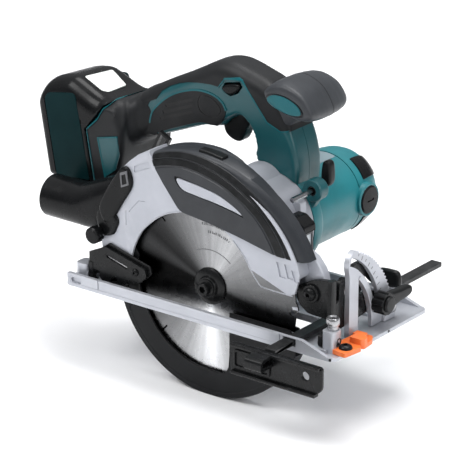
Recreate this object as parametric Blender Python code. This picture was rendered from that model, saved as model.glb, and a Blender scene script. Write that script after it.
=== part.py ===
"""Cordless circular saw: blade, guards, tilting and depth frames, gear train, motor, handle and battery.

Frame: metres, +Z up. z = 0 is the sole's flat underside, x = 0 is the blade axis, +X is the cutting
direction, +Y is the motor side and y = 0 is the middle of the base. The sizes below are drawing units;
one unit is 0.922 mm, so that the blade, drawn with a radius of 89.5, is the standard 165 mm one.
"""
import math

import bmesh
import bpy
from mathutils import Matrix, Vector

BLADE_R = 89.5
MM = 0.001 * 82.5 / BLADE_R     # metres in one drawing unit
GAP = 0.35                      # clearance between two pieces that touch

# --- driving dimensions -------------------------------------------------------------------------
BLADE_T = 1.6
BLADE_Y = -45.8                 # middle plane of the blade
SPINDLE = (0.0, 25.5)           # blade axis, x and z, at full depth of cut
BASE_X = (-137.0, 140.0)
BASE_HALF = 68.0
PLATE_T = 3.0
RAIL_H = 11.4
RAIL_T = 3.6
SLOT_X = (-99.0, 89.4)
SLOT_Y = (-59.0, -11.0)
TILT = (-53.0, 9.0)             # bevel axis, y and z
CLAMP_R = 67.0                  # radius of the bevel clamp's slot
FENCE_CLAMP = (96.5, 60.0)      # its screw, x and y
STUD = (127.5, -49.6)           # stop stud on the base, x and y
CLAMP_A = 13.0                  # its angle when the blade is upright, degrees
DEPTH = (101.0, 43.0)           # depth pivot, x and z
GUIDE_R = 193.0                 # radius of the depth guide's slot
GUARD_R = 97.0                  # outside of the lower guard
GUARD_FRONT = 88.6              # where its front end is cut off upright
GUARD_Y = (-50.0, -36.6)
CASE_R = 98.6                   # inside of the blade case
CASE_Y = (-52.6, -30.5)
HOOD_R = 111.0
HOOD_Y = (-55.2, -26.0)
MOTOR = (24.0, 75.0)            # motor axis, x and z
MOTOR_R = 36.5
MOTOR_END = 82.0                # where the housing meets the end cover
BRUSH_Y = 91.0
STAGE_1 = (16, 44)              # teeth: motor pinion, intermediate gear
STAGE_2 = (16, 34)              # teeth: intermediate pinion, blade gear
MODULE = 1.0
LOCK_Y = -16.3                   # middle of the shaft lock
KEY = (66.0, 109.0)             # stored hex key, x and z
HANDLE_Y = 22.0                 # middle plane of handle and battery
GRIP_HALF = 18.0
BATTERY_TILT = 9.5              # lean of the battery, degrees
FENCE_X = (90.6, 102.0)
FENCE_Z = (5.2, 10.2)
FENCE_END = 147.0
GEAR_TOP_R = 50.0               # round end of the gear case about the motor axis
NOZZLE_SCREW = (-110.0, 49.0)   # x and z

SEG = 40                        # sides of a large circle


# --- building blocks ----------------------------------------------------------------------------
def clear_scene():
    for ob in list(bpy.data.objects):
        bpy.data.objects.remove(ob, do_unlink=True)


MATERIALS = {}


def material(name, colour, metallic=0.0, roughness=0.5):
    if name not in MATERIALS:
        mat = bpy.data.materials.new(name)
        mat.use_nodes = True
        shader = mat.node_tree.nodes["Principled BSDF"]
        shader.inputs["Base Color"].default_value = (*colour, 1.0)
        shader.inputs["Metallic"].default_value = metallic
        shader.inputs["Roughness"].default_value = roughness
        MATERIALS[name] = mat
    return MATERIALS[name]


TEAL = ("teal_plastic", (0.016, 0.21, 0.235), 0.0, 0.42)
BLACK = ("black_plastic", (0.018, 0.019, 0.021), 0.0, 0.45)
GREY = ("dark_grey_plastic", (0.055, 0.058, 0.064), 0.0, 0.5)
RUBBER = ("black_rubber", (0.012, 0.012, 0.013), 0.0, 0.8)
CAST = ("cast_aluminium", (0.55, 0.56, 0.60), 0.9, 0.42)
STEEL = ("brushed_steel", (0.50, 0.51, 0.53), 1.0, 0.30)
BLACK_STEEL = ("black_steel", (0.02, 0.02, 0.022), 0.3, 0.4)
ORANGE = ("orange_plastic", (0.80, 0.17, 0.03), 0.0, 0.42)
COPPER = ("copper", (0.72, 0.30, 0.14), 1.0, 0.35)
CLEAR = ("lamp_lens", (0.75, 0.78, 0.82), 0.0, 0.1)


def mesh_object(name, verts, faces, mat, origin=(0.0, 0.0, 0.0)):
    """A mesh from millimetre points, with the object's origin at a millimetre point."""
    base = Vector(origin)
    mesh = bpy.data.meshes.new(name)
    mesh.from_pydata([(Vector(v) - base) * MM for v in verts], [], faces)
    bm = bmesh.new()
    bm.from_mesh(mesh)
    bmesh.ops.remove_doubles(bm, verts=bm.verts, dist=1e-7)
    bmesh.ops.recalc_face_normals(bm, faces=bm.faces)
    bm.to_mesh(mesh)
    bm.free()
    ob = bpy.data.objects.new(name, mesh)
    bpy.context.collection.objects.link(ob)
    ob.location = base * MM
    mesh.materials.append(material(*mat))
    return ob


AXES = {"x": (1, 2, 0), "y": (0, 2, 1), "z": (0, 1, 2)}


def point(axis, a, b, c):
    """A point from two plane coordinates and the place along the axis."""
    out = [0.0, 0.0, 0.0]
    for slot, value in zip(AXES[axis], (a, b, c)):
        out[slot] = value
    return tuple(out)


def prism(name, outline, axis, lo, hi, mat=GREY, origin=(0, 0, 0)):
    """An outline in the plane across an axis, carried from lo to hi."""
    n = len(outline)
    verts = [point(axis, a, b, lo) for a, b in outline] + [point(axis, a, b, hi) for a, b in outline]
    faces = [tuple(range(n))[::-1], tuple(range(n, 2 * n))]
    for i in range(n):
        j = (i + 1) % n
        faces.append((i, j, n + j, n + i))
    return mesh_object(name, verts, faces, mat, origin)


def box(name, lo, hi, mat=GREY, origin=(0, 0, 0)):
    outline = [(lo[0], lo[1]), (hi[0], lo[1]), (hi[0], hi[1]), (lo[0], hi[1])]
    return prism(name, outline, "z", lo[2], hi[2], mat, origin)


def arc(centre, radius, a0, a1, n):
    """Points on a circle from angle a0 to a1, in degrees."""
    out = []
    for i in range(n + 1):
        t = math.radians(a0 + (a1 - a0) * i / n)
        out.append((centre[0] + radius * math.cos(t), centre[1] + radius * math.sin(t)))
    return out


def circle(centre, radius, n=SEG):
    return arc(centre, radius, 0, 360, n)[:-1]


def disc(name, centre, radius, axis, lo, hi, mat=GREY, n=SEG, origin=(0, 0, 0)):
    return prism(name, circle(centre, radius, n), axis, lo, hi, mat, origin)


def lathe(name, centre, profile, axis, mat=GREY, n=SEG, origin=(0, 0, 0)):
    """A closed profile of (radius, place along the axis) turned about the axis."""
    verts, faces = [], []
    m = len(profile)
    for i in range(n):
        t = 2 * math.pi * i / n
        for r, h in profile:
            verts.append(point(axis, centre[0] + r * math.cos(t), centre[1] + r * math.sin(t), h))
    for i in range(n):
        k = (i + 1) % n
        for j in range(m):
            q = (j + 1) % m
            ring = [i * m + j, i * m + q, k * m + q, k * m + j]
            if profile[j][0] < 1e-9 and profile[q][0] < 1e-9:
                continue
            if profile[j][0] < 1e-9:
                ring = ring[:3]
            elif profile[q][0] < 1e-9:
                ring = [ring[0], ring[1], ring[3]]
            faces.append(tuple(ring))
    return mesh_object(name, verts, faces, mat, origin)


def ring(name, centre, r_in, r_out, axis, lo, hi, mat=GREY, n=SEG, origin=(0, 0, 0)):
    return lathe(name, centre, [(r_in, lo), (r_out, lo), (r_out, hi), (r_in, hi)], axis, mat, n, origin)


def combine(ob, other, operation):
    """Boolean of two objects; the second one is used up."""
    mod = ob.modifiers.new("combine", "BOOLEAN")
    mod.operation = operation
    mod.solver = "EXACT"
    mod.object = other
    bpy.context.view_layer.update()
    graph = bpy.context.evaluated_depsgraph_get()
    mesh = bpy.data.meshes.new_from_object(ob.evaluated_get(graph))
    ob.modifiers.clear()
    old = ob.data
    ob.data = mesh
    mesh.name = ob.name
    bpy.data.meshes.remove(old)
    bpy.data.objects.remove(other, do_unlink=True)
    while len(ob.data.materials) > 1:
        ob.data.materials.pop()
    for face in ob.data.polygons:
        face.material_index = 0
    return ob


def cut(ob, *others):
    for other in others:
        combine(ob, other, "DIFFERENCE")
    return ob


def fuse(ob, *others):
    for other in others:
        combine(ob, other, "UNION")
    return ob


def turned(point_xz, centre, degrees):
    """A point of the XZ plane turned about a centre, counter-clockwise seen from -Y."""
    t = math.radians(degrees)
    dx, dz = point_xz[0] - centre[0], point_xz[1] - centre[1]
    return (centre[0] + dx * math.cos(t) - dz * math.sin(t), centre[1] + dx * math.sin(t) + dz * math.cos(t))


def along(a, b, share):
    return (a[0] + (b[0] - a[0]) * share, a[1] + (b[1] - a[1]) * share)


def gear_outline(centre, teeth, phase):
    """Trapezium teeth on the pitch circle; phase turns the gear, in tooth pitches."""
    pitch_r = teeth * MODULE / 2
    root, tip = pitch_r - 1.15 * MODULE, pitch_r + 0.72 * MODULE
    step = 2 * math.pi / teeth
    out = []
    for i in range(teeth):
        t = (i + phase) * step
        for r, half in ((root, 0.27), (tip, 0.13)):
            out.append((centre[0] + r * math.cos(t - half * step), centre[1] + r * math.sin(t - half * step)))
        for r, half in ((tip, 0.13), (root, 0.27)):
            out.append((centre[0] + r * math.cos(t + half * step), centre[1] + r * math.sin(t + half * step)))
    return out


REACH = math.dist(SPINDLE, MOTOR)
LINE_ANGLE = math.atan2(MOTOR[1] - SPINDLE[1], MOTOR[0] - SPINDLE[0])
SHAFT_2 = along(SPINDLE, MOTOR, sum(STAGE_2) * MODULE / 2 / REACH)


def mesh_phase(teeth, facing):
    """Phase that puts a tooth (facing 0) or a gap (facing 0.5) on the line of centres."""
    return LINE_ANGLE / (2 * math.pi / teeth) + facing


# --- base ---------------------------------------------------------------------------------------
def make_base():
    x0, x1 = BASE_X
    w = BASE_HALF
    outline = [(x0, -w), (x1 - 4, -w), (x1, -w + 4), (x1, w - 4), (x1 - 4, w), (x0, w)]
    base = prism("base_plate", outline, "z", 0, PLATE_T, CAST)
    rail = [(x0, 1), (x0, RAIL_H), (108, RAIL_H), (133, PLATE_T), (132, 1)]
    for side in (-1, 1):
        lo, hi = sorted((side * w, side * (w - RAIL_T)))
        fuse(base, prism("rail", rail, "y", lo, hi, CAST))
    fuse(base, box("rear_rim", (x0, -w + 1, 1), (x0 + 3, w - 1, 7), CAST))
    for y in (8.0, 36.0):
        fuse(base, box("rib", (x0 + 2, y, 1), (62, y + 2.4, 6), CAST))
    fuse(base, box("cross_rib", (-60, 1, 1), (-57.4, w - 1, 6), CAST))
    fuse(base, box("front_boss", (122, -60, 1), (128, -46.5, 22), CAST))
    fuse(base, disc("stud", STUD, 5.6, "z", 1, 23, CAST, 28))
    fuse(base, disc("stud_top", STUD, 4.5, "z", 22, 32, CAST, 28))
    fuse(base, box("rear_boss", (-134.5, -60, 1), (-122.5, -46.5, 20), CAST))
    fuse(base, box("bridge", (86, 52, 1), (109, w - 1, 15), CAST))
    cut(base, box("slot", (SLOT_X[0], SLOT_Y[0], -2), (SLOT_X[1], SLOT_Y[1], 8)))
    cut(base, box("fence_way", (FENCE_X[0] - GAP, -w - 4, FENCE_Z[0] - GAP),
                  (FENCE_X[1] + GAP, w + 4, FENCE_Z[1] + GAP)))
    cut(base, disc("pin_way", TILT, 2.0 + GAP, "x", x0 - 3, 139, n=20))
    cut(base, disc("clamp_way", FENCE_CLAMP, 3.0 + GAP, "z", 6, 20, n=20))
    cut(base, box("kerf_notch", (132, -43, -2), (144, -36, 5)))
    return base


def make_tilt_pins():
    for name, lo, hi in (("front_tilt_pin", 116.5, 133.0), ("rear_tilt_pin", -135.0, -115.6)):
        disc(name, TILT, 2.0, "x", lo, hi, STEEL, 20)


def make_quadrant():
    outer = arc((-45, 0), 80.5, 73, 10, 20)
    inner = arc(TILT, 58.5, 3, 48.0, 14)
    outline = [(-26, PLATE_T + GAP), (-26, 70)] + outer + [(36, PLATE_T + GAP)]
    outline += [(inner[0][0], PLATE_T + GAP)] + inner + [(-13.5, 46), (-13.5, PLATE_T + GAP)]
    plate = prism("bevel_quadrant", outline, "x", 122, 126, CAST)
    a0, a1 = CLAMP_A - 3.5, CLAMP_A + 50 + 3.5
    slot = arc(TILT, CLAMP_R - 3.4, a0, a1, 20) + arc(TILT, CLAMP_R + 3.4, a1, a0, 20)
    cut(plate, prism("arc_slot", slot, "x", 118, 130))
    fuse(plate, box("foot", (114, 22, PLATE_T + GAP), (124, 35, 7), CAST))
    return plate


def make_sight():
    outline = [(134.6, -60), (145.5, -60), (148, -41), (144.5, -37.5), (146, -23), (142, -15), (128, -16),
               (128, -36.5), (134.6, -39.5)]
    sight = prism("sight_guide", outline, "z", PLATE_T + GAP, 7.2, ORANGE)
    fuse(sight, box("block", (130, -31, 5), (143, -20, 12), ORANGE))
    cut(sight, disc("screw_way", (139.5, -50.5), 2.0 + GAP, "z", 0, 20, n=20))


# --- rip fence ----------------------------------------------------------------------------------
def make_fence():
    x0, x1 = FENCE_X
    z0, z1 = FENCE_Z
    fence = box("rip_fence", (x0, -112, z0), (x1, FENCE_END, z1), BLACK_STEEL)
    fuse(fence, box("fold", (x0, -112, -13), (x1, -109, z1 - 0.5), BLACK_STEEL))
    fuse(fence, box("return", (x0, -110, -13), (x1, -95, -10), BLACK_STEEL))
    plate = [(59, -16), (61, -18), (143, -18), (149, -11), (149, 7), (145, z1 - 0.6), (61, z1 - 0.6), (59, 6)]
    fuse(fence, prism("plate", plate, "y", -97.5, -94, BLACK_STEEL))
    fuse(fence, box("bottom_lip", (63, -101, -18), (143, -96, -16), BLACK_STEEL))
    cut(fence, disc("hole", (133, -3), 3.5, "y", -110, -80, n=20))
    return fence


def make_fence_clamp():
    x, y = FENCE_CLAMP
    screw = lathe("fence_clamp_screw", FENCE_CLAMP, [(0, 10.6), (3, 10.6), (3, 15.4), (5.5, 15.4), (5.5, 19), (0, 19)],
                  "z", BLACK_STEEL, 20, (x, y, 14))
    fuse(screw, box("wing", (x - 12, y - 1.8, 16), (x + 12, y + 1.8, 29), BLACK_STEEL))
    return screw


# --- tilting frame ------------------------------------------------------------------------------
def clamp_point(degrees):
    return arc(TILT, CLAMP_R, degrees, degrees, 1)[0]


def make_front_bracket():
    eye = arc(TILT, 5.2, 160, 290, 10)
    clamp = clamp_point(CLAMP_A)
    outline = eye + [(-42, 13), (-20, 14)] + arc(clamp, 7.5, -80, 80, 12)
    outline += [(-10, 34), (-30, 36), (-38, 54), (-44, 54), (-58.2, 30)]
    plate = prism("front_tilt_bracket", outline, "x", 117.3, 121.4, BLACK_STEEL)
    arm = arc(DEPTH, 12, 80, 270, 18) + [(119, 29), (119, 54)]
    fuse(plate, prism("arm", arm, "y", -44.0, -40.2, BLACK_STEEL))
    cut(plate, disc("tilt_way", TILT, 2.0 + GAP, "x", 110, 130, n=20))
    cut(plate, disc("clamp_way", clamp, 3.0 + GAP, "x", 110, 130, n=20))
    cut(plate, disc("depth_way", DEPTH, 4.0 + GAP, "y", -50, -30, n=24))
    return plate


def make_rear_bracket():
    eye = arc(TILT, 5.2, 160, 290, 10)
    outline = eye + [(-42, 13), (-20.4, 14), (-20.4, 27), (-42, 27), (-58.2, 22)]
    bracket = prism("rear_tilt_bracket", outline, "x", -121.6, -117.3, BLACK_STEEL)
    cheek = [(-121, 17), (-121, 31), (-105, 38.5), (-61, 27.5), (-60, 21.5), (-66, 15), (-82, 12)]
    fuse(bracket, prism("cheek", cheek, "y", -57.6, -54.6, BLACK_STEEL))
    fuse(bracket, box("tail", (-121, -23, 14.2), (-84, -20.4, 20), BLACK_STEEL))
    slot = [(-102, 32), (-102, 29), (-80, 23.4), (-80, 26.4)]
    cut(bracket, prism("cheek_slot", slot, "y", -60, -50))
    cut(bracket, disc("tilt_way", TILT, 2.0 + GAP, "x", -130, -110, n=20))
    return bracket


def make_depth_guide():
    outline = arc(DEPTH, GUIDE_R - 6, 189, 151.5, 24) + arc(DEPTH, GUIDE_R + 6, 151.5, 189, 24)
    guide = prism("depth_guide", outline, "y", -20, -16, BLACK_STEEL)
    slot = arc(DEPTH, GUIDE_R - 3.3, 186.5, 152.0, 24) + arc(DEPTH, GUIDE_R + 3.3, 152.0, 186.5, 24)
    cut(guide, prism("slot", slot, "y", -24, -12))
    return guide


def make_depth_pivot():
    pin = lathe("depth_pivot_pin", DEPTH, [(0, -47.2), (7, -47.2), (7, -44.3), (4, -44.3), (4, -25), (0, -25)],
                "y", STEEL, 24)
    cut(pin, box("drive", (100.2, -49, 38.5), (101.8, -45.6, 47.5)), box("drive_2", (96.5, -49, 42.2),
                                                                        (105.5, -45.6, 43.8)))
    return pin


def make_bevel_clamp():
    clamp = clamp_point(CLAMP_A)
    head = [(0, 112.5), (6, 112.5), (6, 117), (3, 117), (3, 139), (0, 139)]
    lathe("bevel_clamp_bolt", clamp, head, "x", STEEL, 20)
    origin = (126.3, clamp[0], clamp[1])
    lever = ring("bevel_lever", clamp, 3.0 + GAP, 9, "x", 126.4, 137, BLACK, 24, origin)
    arm = [(clamp[0] + 6, clamp[1] - 5), (clamp[0] + 36, clamp[1] - 2), (clamp[0] + 36, clamp[1] + 5),
           (clamp[0] + 6, clamp[1] + 5)]
    fuse(lever, prism("arm", arm, "x", 129, 136.4, BLACK))
    return lever


# --- blade case and hood ------------------------------------------------------------------------
def make_blade_case():
    nose = turned((SPINDLE[0] + CASE_R + 3, SPINDLE[1]), SPINDLE, 24)
    left = [(-82, 112), (-84, 95), (-91, 78), (-103, 61), (-117, 53), (-117, 44), (-112, 29)]
    outline = arc(SPINDLE, CASE_R + 3, 24, 125.5, 24) + [(-59, 131)] + left
    outline += [(-84, 20), (-24, 15), (26, 15), (86, 40), nose]
    case = prism("blade_case", outline, "y", CASE_Y[0], CASE_Y[1], CAST)
    cavity = arc(SPINDLE, CASE_R, 0, 180, 40) + [(-CASE_R, -4), (CASE_R, -4)]
    cut(case, prism("cavity", cavity, "y", CASE_Y[0] + 2.3, CASE_Y[1] - 2.5))
    window = [(130, -4), (86, 40), (54, 37), (47, 46), (28, 72), (0, 84), (-29, 86), (-44, 78), (-57, 67), (-69, 53),
              (-78, 41), (-83, 32), (-96, 31), (-96, -4)]
    cut(case, prism("window", window, "y", CASE_Y[0] - 3, CASE_Y[0] + 8))
    cut(case, disc("boss_way", SPINDLE, 22.5 + GAP, "y", CASE_Y[1] - 6, CASE_Y[1] + 4))
    cut(case, box("dust_way", (-102, -49, 66), (-60, -35, 108)))
    cut(case, box("ear_thinning", (-125, -50.7, 44), (-104.4, -25, 60)))
    lug = arc(DEPTH, 11, 180, 360, 12) + [(108, 58), (97, 66.5), (88, 74)]
    fuse(case, prism("lug", lug, "y", -39.6, -30.5, CAST))
    cut(case, disc("depth_way", DEPTH, 4.0 + GAP, "y", -44, -20, n=24))
    cut(case, disc("bolt_way", guide_point(), 3.0 + GAP, "y", -40, -20, n=20))
    cut(case, disc("screw_way", NOZZLE_SCREW, 2.5 + GAP, "y", -56, -40, n=20))
    return case


def guide_point():
    return arc(DEPTH, GUIDE_R, 185.2, 185.2, 1)[0]


def hood_arc(radius, a0, a1, n):
    """The hood's edge: a circle about the blade axis that opens out towards the rear."""
    out = []
    for i in range(n + 1):
        a = a0 + (a1 - a0) * i / n
        out += arc(SPINDLE, radius + 0.22 * max(0.0, a - 75.0), a, a, 1)[:1]
    return out


def make_hood():
    edge = [(-26, 87), (-5, 80), (53, 72), (70, 69.5)]
    outline = hood_arc(HOOD_R, 24, 118, 26) + [(-54.5, 122)] + edge
    hood = prism("hood_cover", outline, "y", HOOD_Y[0], HOOD_Y[1], GREY)
    inside = hood_arc(HOOD_R - 2.6, 14, 126, 30) + [(-80, 40), (0, 20)]
    cut(hood, prism("inside", inside, "y", HOOD_Y[0] + 2.2, HOOD_Y[1] + 4))
    insert_lo = [(-26, 109), (-4, 106), (18, 102), (39, 96)]
    insert_up = arc((0, 10), 106, 69, 104, 12)
    cut(hood, prism("insert_way", insert_lo + insert_up, "y", HOOD_Y[0] - 1, HOOD_Y[0] + 1.0))
    slope = [(2, -20), (32, -32), (64, -38.5), (130, -38.5), (130, -20)]
    cut(hood, prism("slope", slope, "z", 50, 160))
    return hood


def loft(name, rings, mat):
    """A tube: the rings of the outside, then those of the inside back again."""
    n = len(rings[0])
    verts = [v for r in rings for v in r]
    faces = []
    count = len(rings)
    for i in range(count):
        k = (i + 1) % count
        for j in range(n):
            q = (j + 1) % n
            faces.append((i * n + j, i * n + q, k * n + q, k * n + j))
    return mesh_object(name, verts, faces, mat)


def nozzle_ring(x, z, half_y, half_z, lean, power, n=28):
    """A rounded section across X; lean slides its points along X with their height."""
    out = []
    for i in range(n):
        t = 2 * math.pi * i / n
        c, s = math.cos(t), math.sin(t)
        a = math.copysign(abs(c) ** power, c) * half_y
        b = math.copysign(abs(s) ** power, s) * half_z
        out.append((x + lean * b, -38.0 + a, z + b))
    return out


def make_nozzle():
    rings = []
    for wall, order in ((0.0, (0, 1, 2, 3, 4)), (2.2, (4, 3, 2, 1, 0))):
        shape = {0: (-177, 64, 18.5, 18.5, 0.0, 1.0), 1: (-140, 64, 18.5, 18.5, 0.0, 1.0),
                 2: (-128, 67, 17.5, 21.5, 0.15, 0.9), 3: (-112, 73, 16.5, 26.0, 0.35, 0.75),
                 4: (-101.2, 78.5, 15.0, 29.0, 0.54, 0.55)}
        for k in order:
            x, z, hy, hz, lean, power = shape[k]
            rings.append(nozzle_ring(x, z, hy - wall, hz - wall, lean, power))
    return loft("dust_nozzle", rings, BLACK)


def make_nozzle_screw():
    screw = lathe("nozzle_screw", NOZZLE_SCREW, [(0, -62), (7, -62), (7, -53), (2.5, -53), (2.5, -42), (0, -42)],
                  "y", BLACK, 20)
    return screw


def make_lamp():
    outline = arc(MOTOR, GEAR_TOP_R + 0.5, -13, 32, 10) + [(76, 103), (82, 96), (82, 66), (79, 62)]
    lamp = prism("lamp_housing", outline, "y", -30, -17, GREY)
    cut(lamp, box("lens_way", (78.6, -28, 68), (85, -19, 84)))
    box("lamp_lens", (78.9, -27.7, 68.3), (82, -19.3, 83.7), CLEAR)
    return lamp


# --- gear case and motor ------------------------------------------------------------------------
def hull_outline(r_low, r_high):
    """Two circles, on the blade axis and on the motor axis, joined by their outer tangents."""
    off = math.degrees(math.acos((r_low - r_high) / REACH))
    tilt = math.degrees(LINE_ANGLE)
    low = arc(SPINDLE, r_low, tilt + off, tilt + 360 - off, 24)
    high = arc(MOTOR, r_high, tilt - off, tilt + off, 24)
    return low + high


def make_gear_case():
    case = prism("gear_case", hull_outline(21.2, 43), "y", -30.2, 6, CAST)
    bell = arc(MOTOR, GEAR_TOP_R, 78, 150, 20) + [(0, 75), (40, 75), (40, 112)]
    fuse(case, prism("bell", bell, "y", -30, 3.6, CAST))
    fuse(case, disc("boss", SPINDLE, 22.5, "y", -36, -29, CAST))
    cut(case, prism("inside", hull_outline(18.8, 39.5), "y", -24.5, 10))
    cut(case, disc("bearing_way", SPINDLE, 13 + GAP, "y", -34.0, -20, n=32))
    cut(case, disc("flange_way", SPINDLE, 9.0, "y", -40, -30, n=24))
    cut(case, disc("shaft_2_way", SHAFT_2, 5 + GAP, "y", -28.5, -20, n=24))
    cut(case, disc("lock_way", (LOCK_Y, SPINDLE[1]), 2.2 + GAP, "x", -26, -17, n=16))
    return case


def make_gear_plate():
    plate = prism("gear_plate", hull_outline(18.8 - GAP, 39.5 - GAP), "y", -10.4, -6, CAST)
    cut(plate, disc("spindle_way", SPINDLE, 9 + GAP, "y", -14, 0, n=24))
    cut(plate, disc("shaft_way", SHAFT_2, 4 + GAP, "y", -14, 0, n=24))
    cut(plate, disc("lighten", along(SHAFT_2, MOTOR, 0.9), 12, "y", -14, 0, n=24))
    return plate


def make_motor_housing():
    x, z = MOTOR
    can = lathe("motor_housing", MOTOR, [(14 + GAP, 6.3), (43, 6.3), (43, 16), (MOTOR_R + 1.5, 24), (MOTOR_R, 30),
                                         (MOTOR_R, MOTOR_END), (MOTOR_R - 2.6, MOTOR_END),
                                         (MOTOR_R - 2.6, 30), (34, 17),
                                         (14 + GAP, 13.5)], "y", TEAL, 48)
    neck = [(50, 101), (60, 114), (72, 105), (62, 89)]
    fuse(can, prism("key_neck", neck, "y", 7.4, 12.6, TEAL), disc("key_clip", KEY, 8.0, "y", 7, 13, TEAL, 24))
    cut(can, disc("key_way", KEY, 2.5 + GAP, "y", 2, 20, n=16))
    for k in range(5):
        t = math.radians(-40 + 20 * k)
        cx, cz = x - 40 * math.cos(t), z + 40 * math.sin(t)
        cut(can, box("vent", (cx - 9, 19, cz - 1.6), (cx + 9, 27, cz + 1.6)))
    return can


def make_end_cover():
    x, z = MOTOR
    cover = lathe("end_cover", MOTOR, [(0, 120), (20, 120), (28, 117), (33.4, 110.5), (MOTOR_R, 99),
                                       (MOTOR_R, MOTOR_END + GAP), (MOTOR_R - 2.6, MOTOR_END + GAP),
                                       (MOTOR_R - 3.4, 99), (27, 113), (12.6, 115),
                                       (12.6, 96), (8 + GAP, 96), (8 + GAP, 104.6), (0, 104.6)], "y", TEAL, 48)
    for side in (-1, 1):
        lo, hi = sorted((x + side * 30, x + side * 41))
        cut(cover, disc("brush_way", (BRUSH_Y, z), 7 + GAP, "x", lo, hi, n=24))
    for k in range(4):
        cut(cover, box("vent", (x - 18 + 9 * k, 98, z - 52), (x - 14 + 9 * k, 103, z - 25)))
    return cover


def make_brush_caps():
    for name, side in (("brush_cap_front", 1), ("brush_cap_rear", -1)):
        x = MOTOR[0]
        profile = [(0, x + side * 22), (3.4, x + side * 22), (3.4, x + side * 31), (7, x + side * 31),
                   (7, x + side * 38.4), (5.5, x + side * 39.4), (0, x + side * 39.4)]
        lathe(name, (BRUSH_Y, MOTOR[1]), profile, "x", BLACK, 24)


def make_stator():
    ring("stator", MOTOR, 24, MOTOR_R - 2.6 - GAP, "y", 34, 76, STEEL, 40)


def make_bearings():
    ring("spindle_bearing", SPINDLE, 6 + GAP, 13, "y", -33.6, -25, STEEL, 32)
    ring("spindle_bush", SPINDLE, 5 + GAP, 9, "y", -10.4, -6, STEEL, 24)
    ring("motor_bearing_front", MOTOR, 4 + GAP, 14, "y", 6.6, 12.6, STEEL, 32)
    ring("motor_bearing_rear", MOTOR, 3 + GAP, 8, "y", 97.6, 103.6, STEEL, 24)


# --- blade drive --------------------------------------------------------------------------------
def make_blade():
    teeth = 24
    outline = []
    step = 360.0 / teeth
    for i in range(teeth):
        a = i * step
        outline += [arc(SPINDLE, BLADE_R, a, a, 1)[0], arc(SPINDLE, BLADE_R - 0.9, a + 2.6, a + 2.6, 1)[0]]
        outline += arc(SPINDLE, BLADE_R - 2.4, a + 4.2, a + 11.6, 2)
        outline += [arc(SPINDLE, BLADE_R - 7.6, a + 13.4, a + 13.4, 1)[0]]
    lo, hi = BLADE_Y - BLADE_T / 2, BLADE_Y + BLADE_T / 2
    origin = (SPINDLE[0], BLADE_Y, SPINDLE[1])
    blade = prism("saw_blade", outline, "y", lo, hi, STEEL, origin)
    cut(blade, disc("bore", SPINDLE, 6 + GAP, "y", lo - 2, hi + 2, n=24))
    for k in range(4):
        a = 45 + 90 * k
        slot = arc(SPINDLE, 68, a, a + 1.3, 1) + arc(SPINDLE, 78.6, a + 1.3, a, 1)
        cut(blade, prism("relief", slot, "y", lo - 2, hi + 2))
    return blade


def make_flanges():
    origin = (SPINDLE[0], BLADE_Y, SPINDLE[1])
    face = BLADE_Y - BLADE_T / 2
    back = BLADE_Y + BLADE_T / 2
    lathe("outer_flange", SPINDLE, [(4 + GAP, face - 5.6), (8.5, face - 5.6), (9, face - 3.4), (15.4, face - 3.4),
                                    (15.4, face - 0.2), (4 + GAP, face - 0.2)], "y", BLACK_STEEL, 40, origin)
    lathe("inner_flange", SPINDLE, [(6 + GAP, back + 0.2), (15.4, back + 0.2), (15.4, back + 4), (8.2, back + 7.4),
                                    (6 + GAP, back + 7.4)], "y", STEEL, 40, origin)
    bolt = lathe("blade_bolt", SPINDLE, [(0, -58.5), (5.2, -58.5), (5.2, -52.6), (7.5, -52.6), (7.5, -52.5),
                                         (4, -52.5), (4, -35.6), (0, -35.6)], "y", STEEL, 28, origin)
    cut(bolt, prism("socket", circle(SPINDLE, 2.9, 6), "y", -60, -54.5))


def make_spindle():
    origin = (SPINDLE[0], BLADE_Y, SPINDLE[1])
    lathe("spindle", SPINDLE, [(4 + GAP, -46.6), (6, -46.6), (6, -10.8), (5, -10.8), (5, -6.4), (0, -6.4), (0, -35),
                                (4 + GAP, -35)],
          "y", STEEL, 28, origin)
    gear = prism("driven_gear", gear_outline(SPINDLE, STAGE_2[1], mesh_phase(STAGE_2[1], 0.0)), "y", -20, -12.6,
                 STEEL, origin)
    cut(gear, disc("bore", SPINDLE, 6 + GAP, "y", -24, -8, n=28))


def make_second_shaft():
    origin = (SHAFT_2[0], -15, SHAFT_2[1])
    phase = mesh_phase(STAGE_2[0], 0.5) + STAGE_2[0] / 2
    shaft = prism("intermediate_shaft", gear_outline(SHAFT_2, STAGE_2[0], phase), "y", -20.6, -12.0, STEEL, origin)
    fuse(shaft, disc("rod", SHAFT_2, 5, "y", -28, -20.2, STEEL, 24))
    fuse(shaft, disc("rod", SHAFT_2, 4, "y", -12.4, 4.4, STEEL, 24))
    gear = prism("intermediate_gear", gear_outline(SHAFT_2, STAGE_1[1], mesh_phase(STAGE_1[1], 0.0)), "y", -4.6, 2.6,
                 STEEL, origin)
    cut(gear, disc("bore", SHAFT_2, 4 + GAP, "y", -8, 8, n=24))


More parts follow.
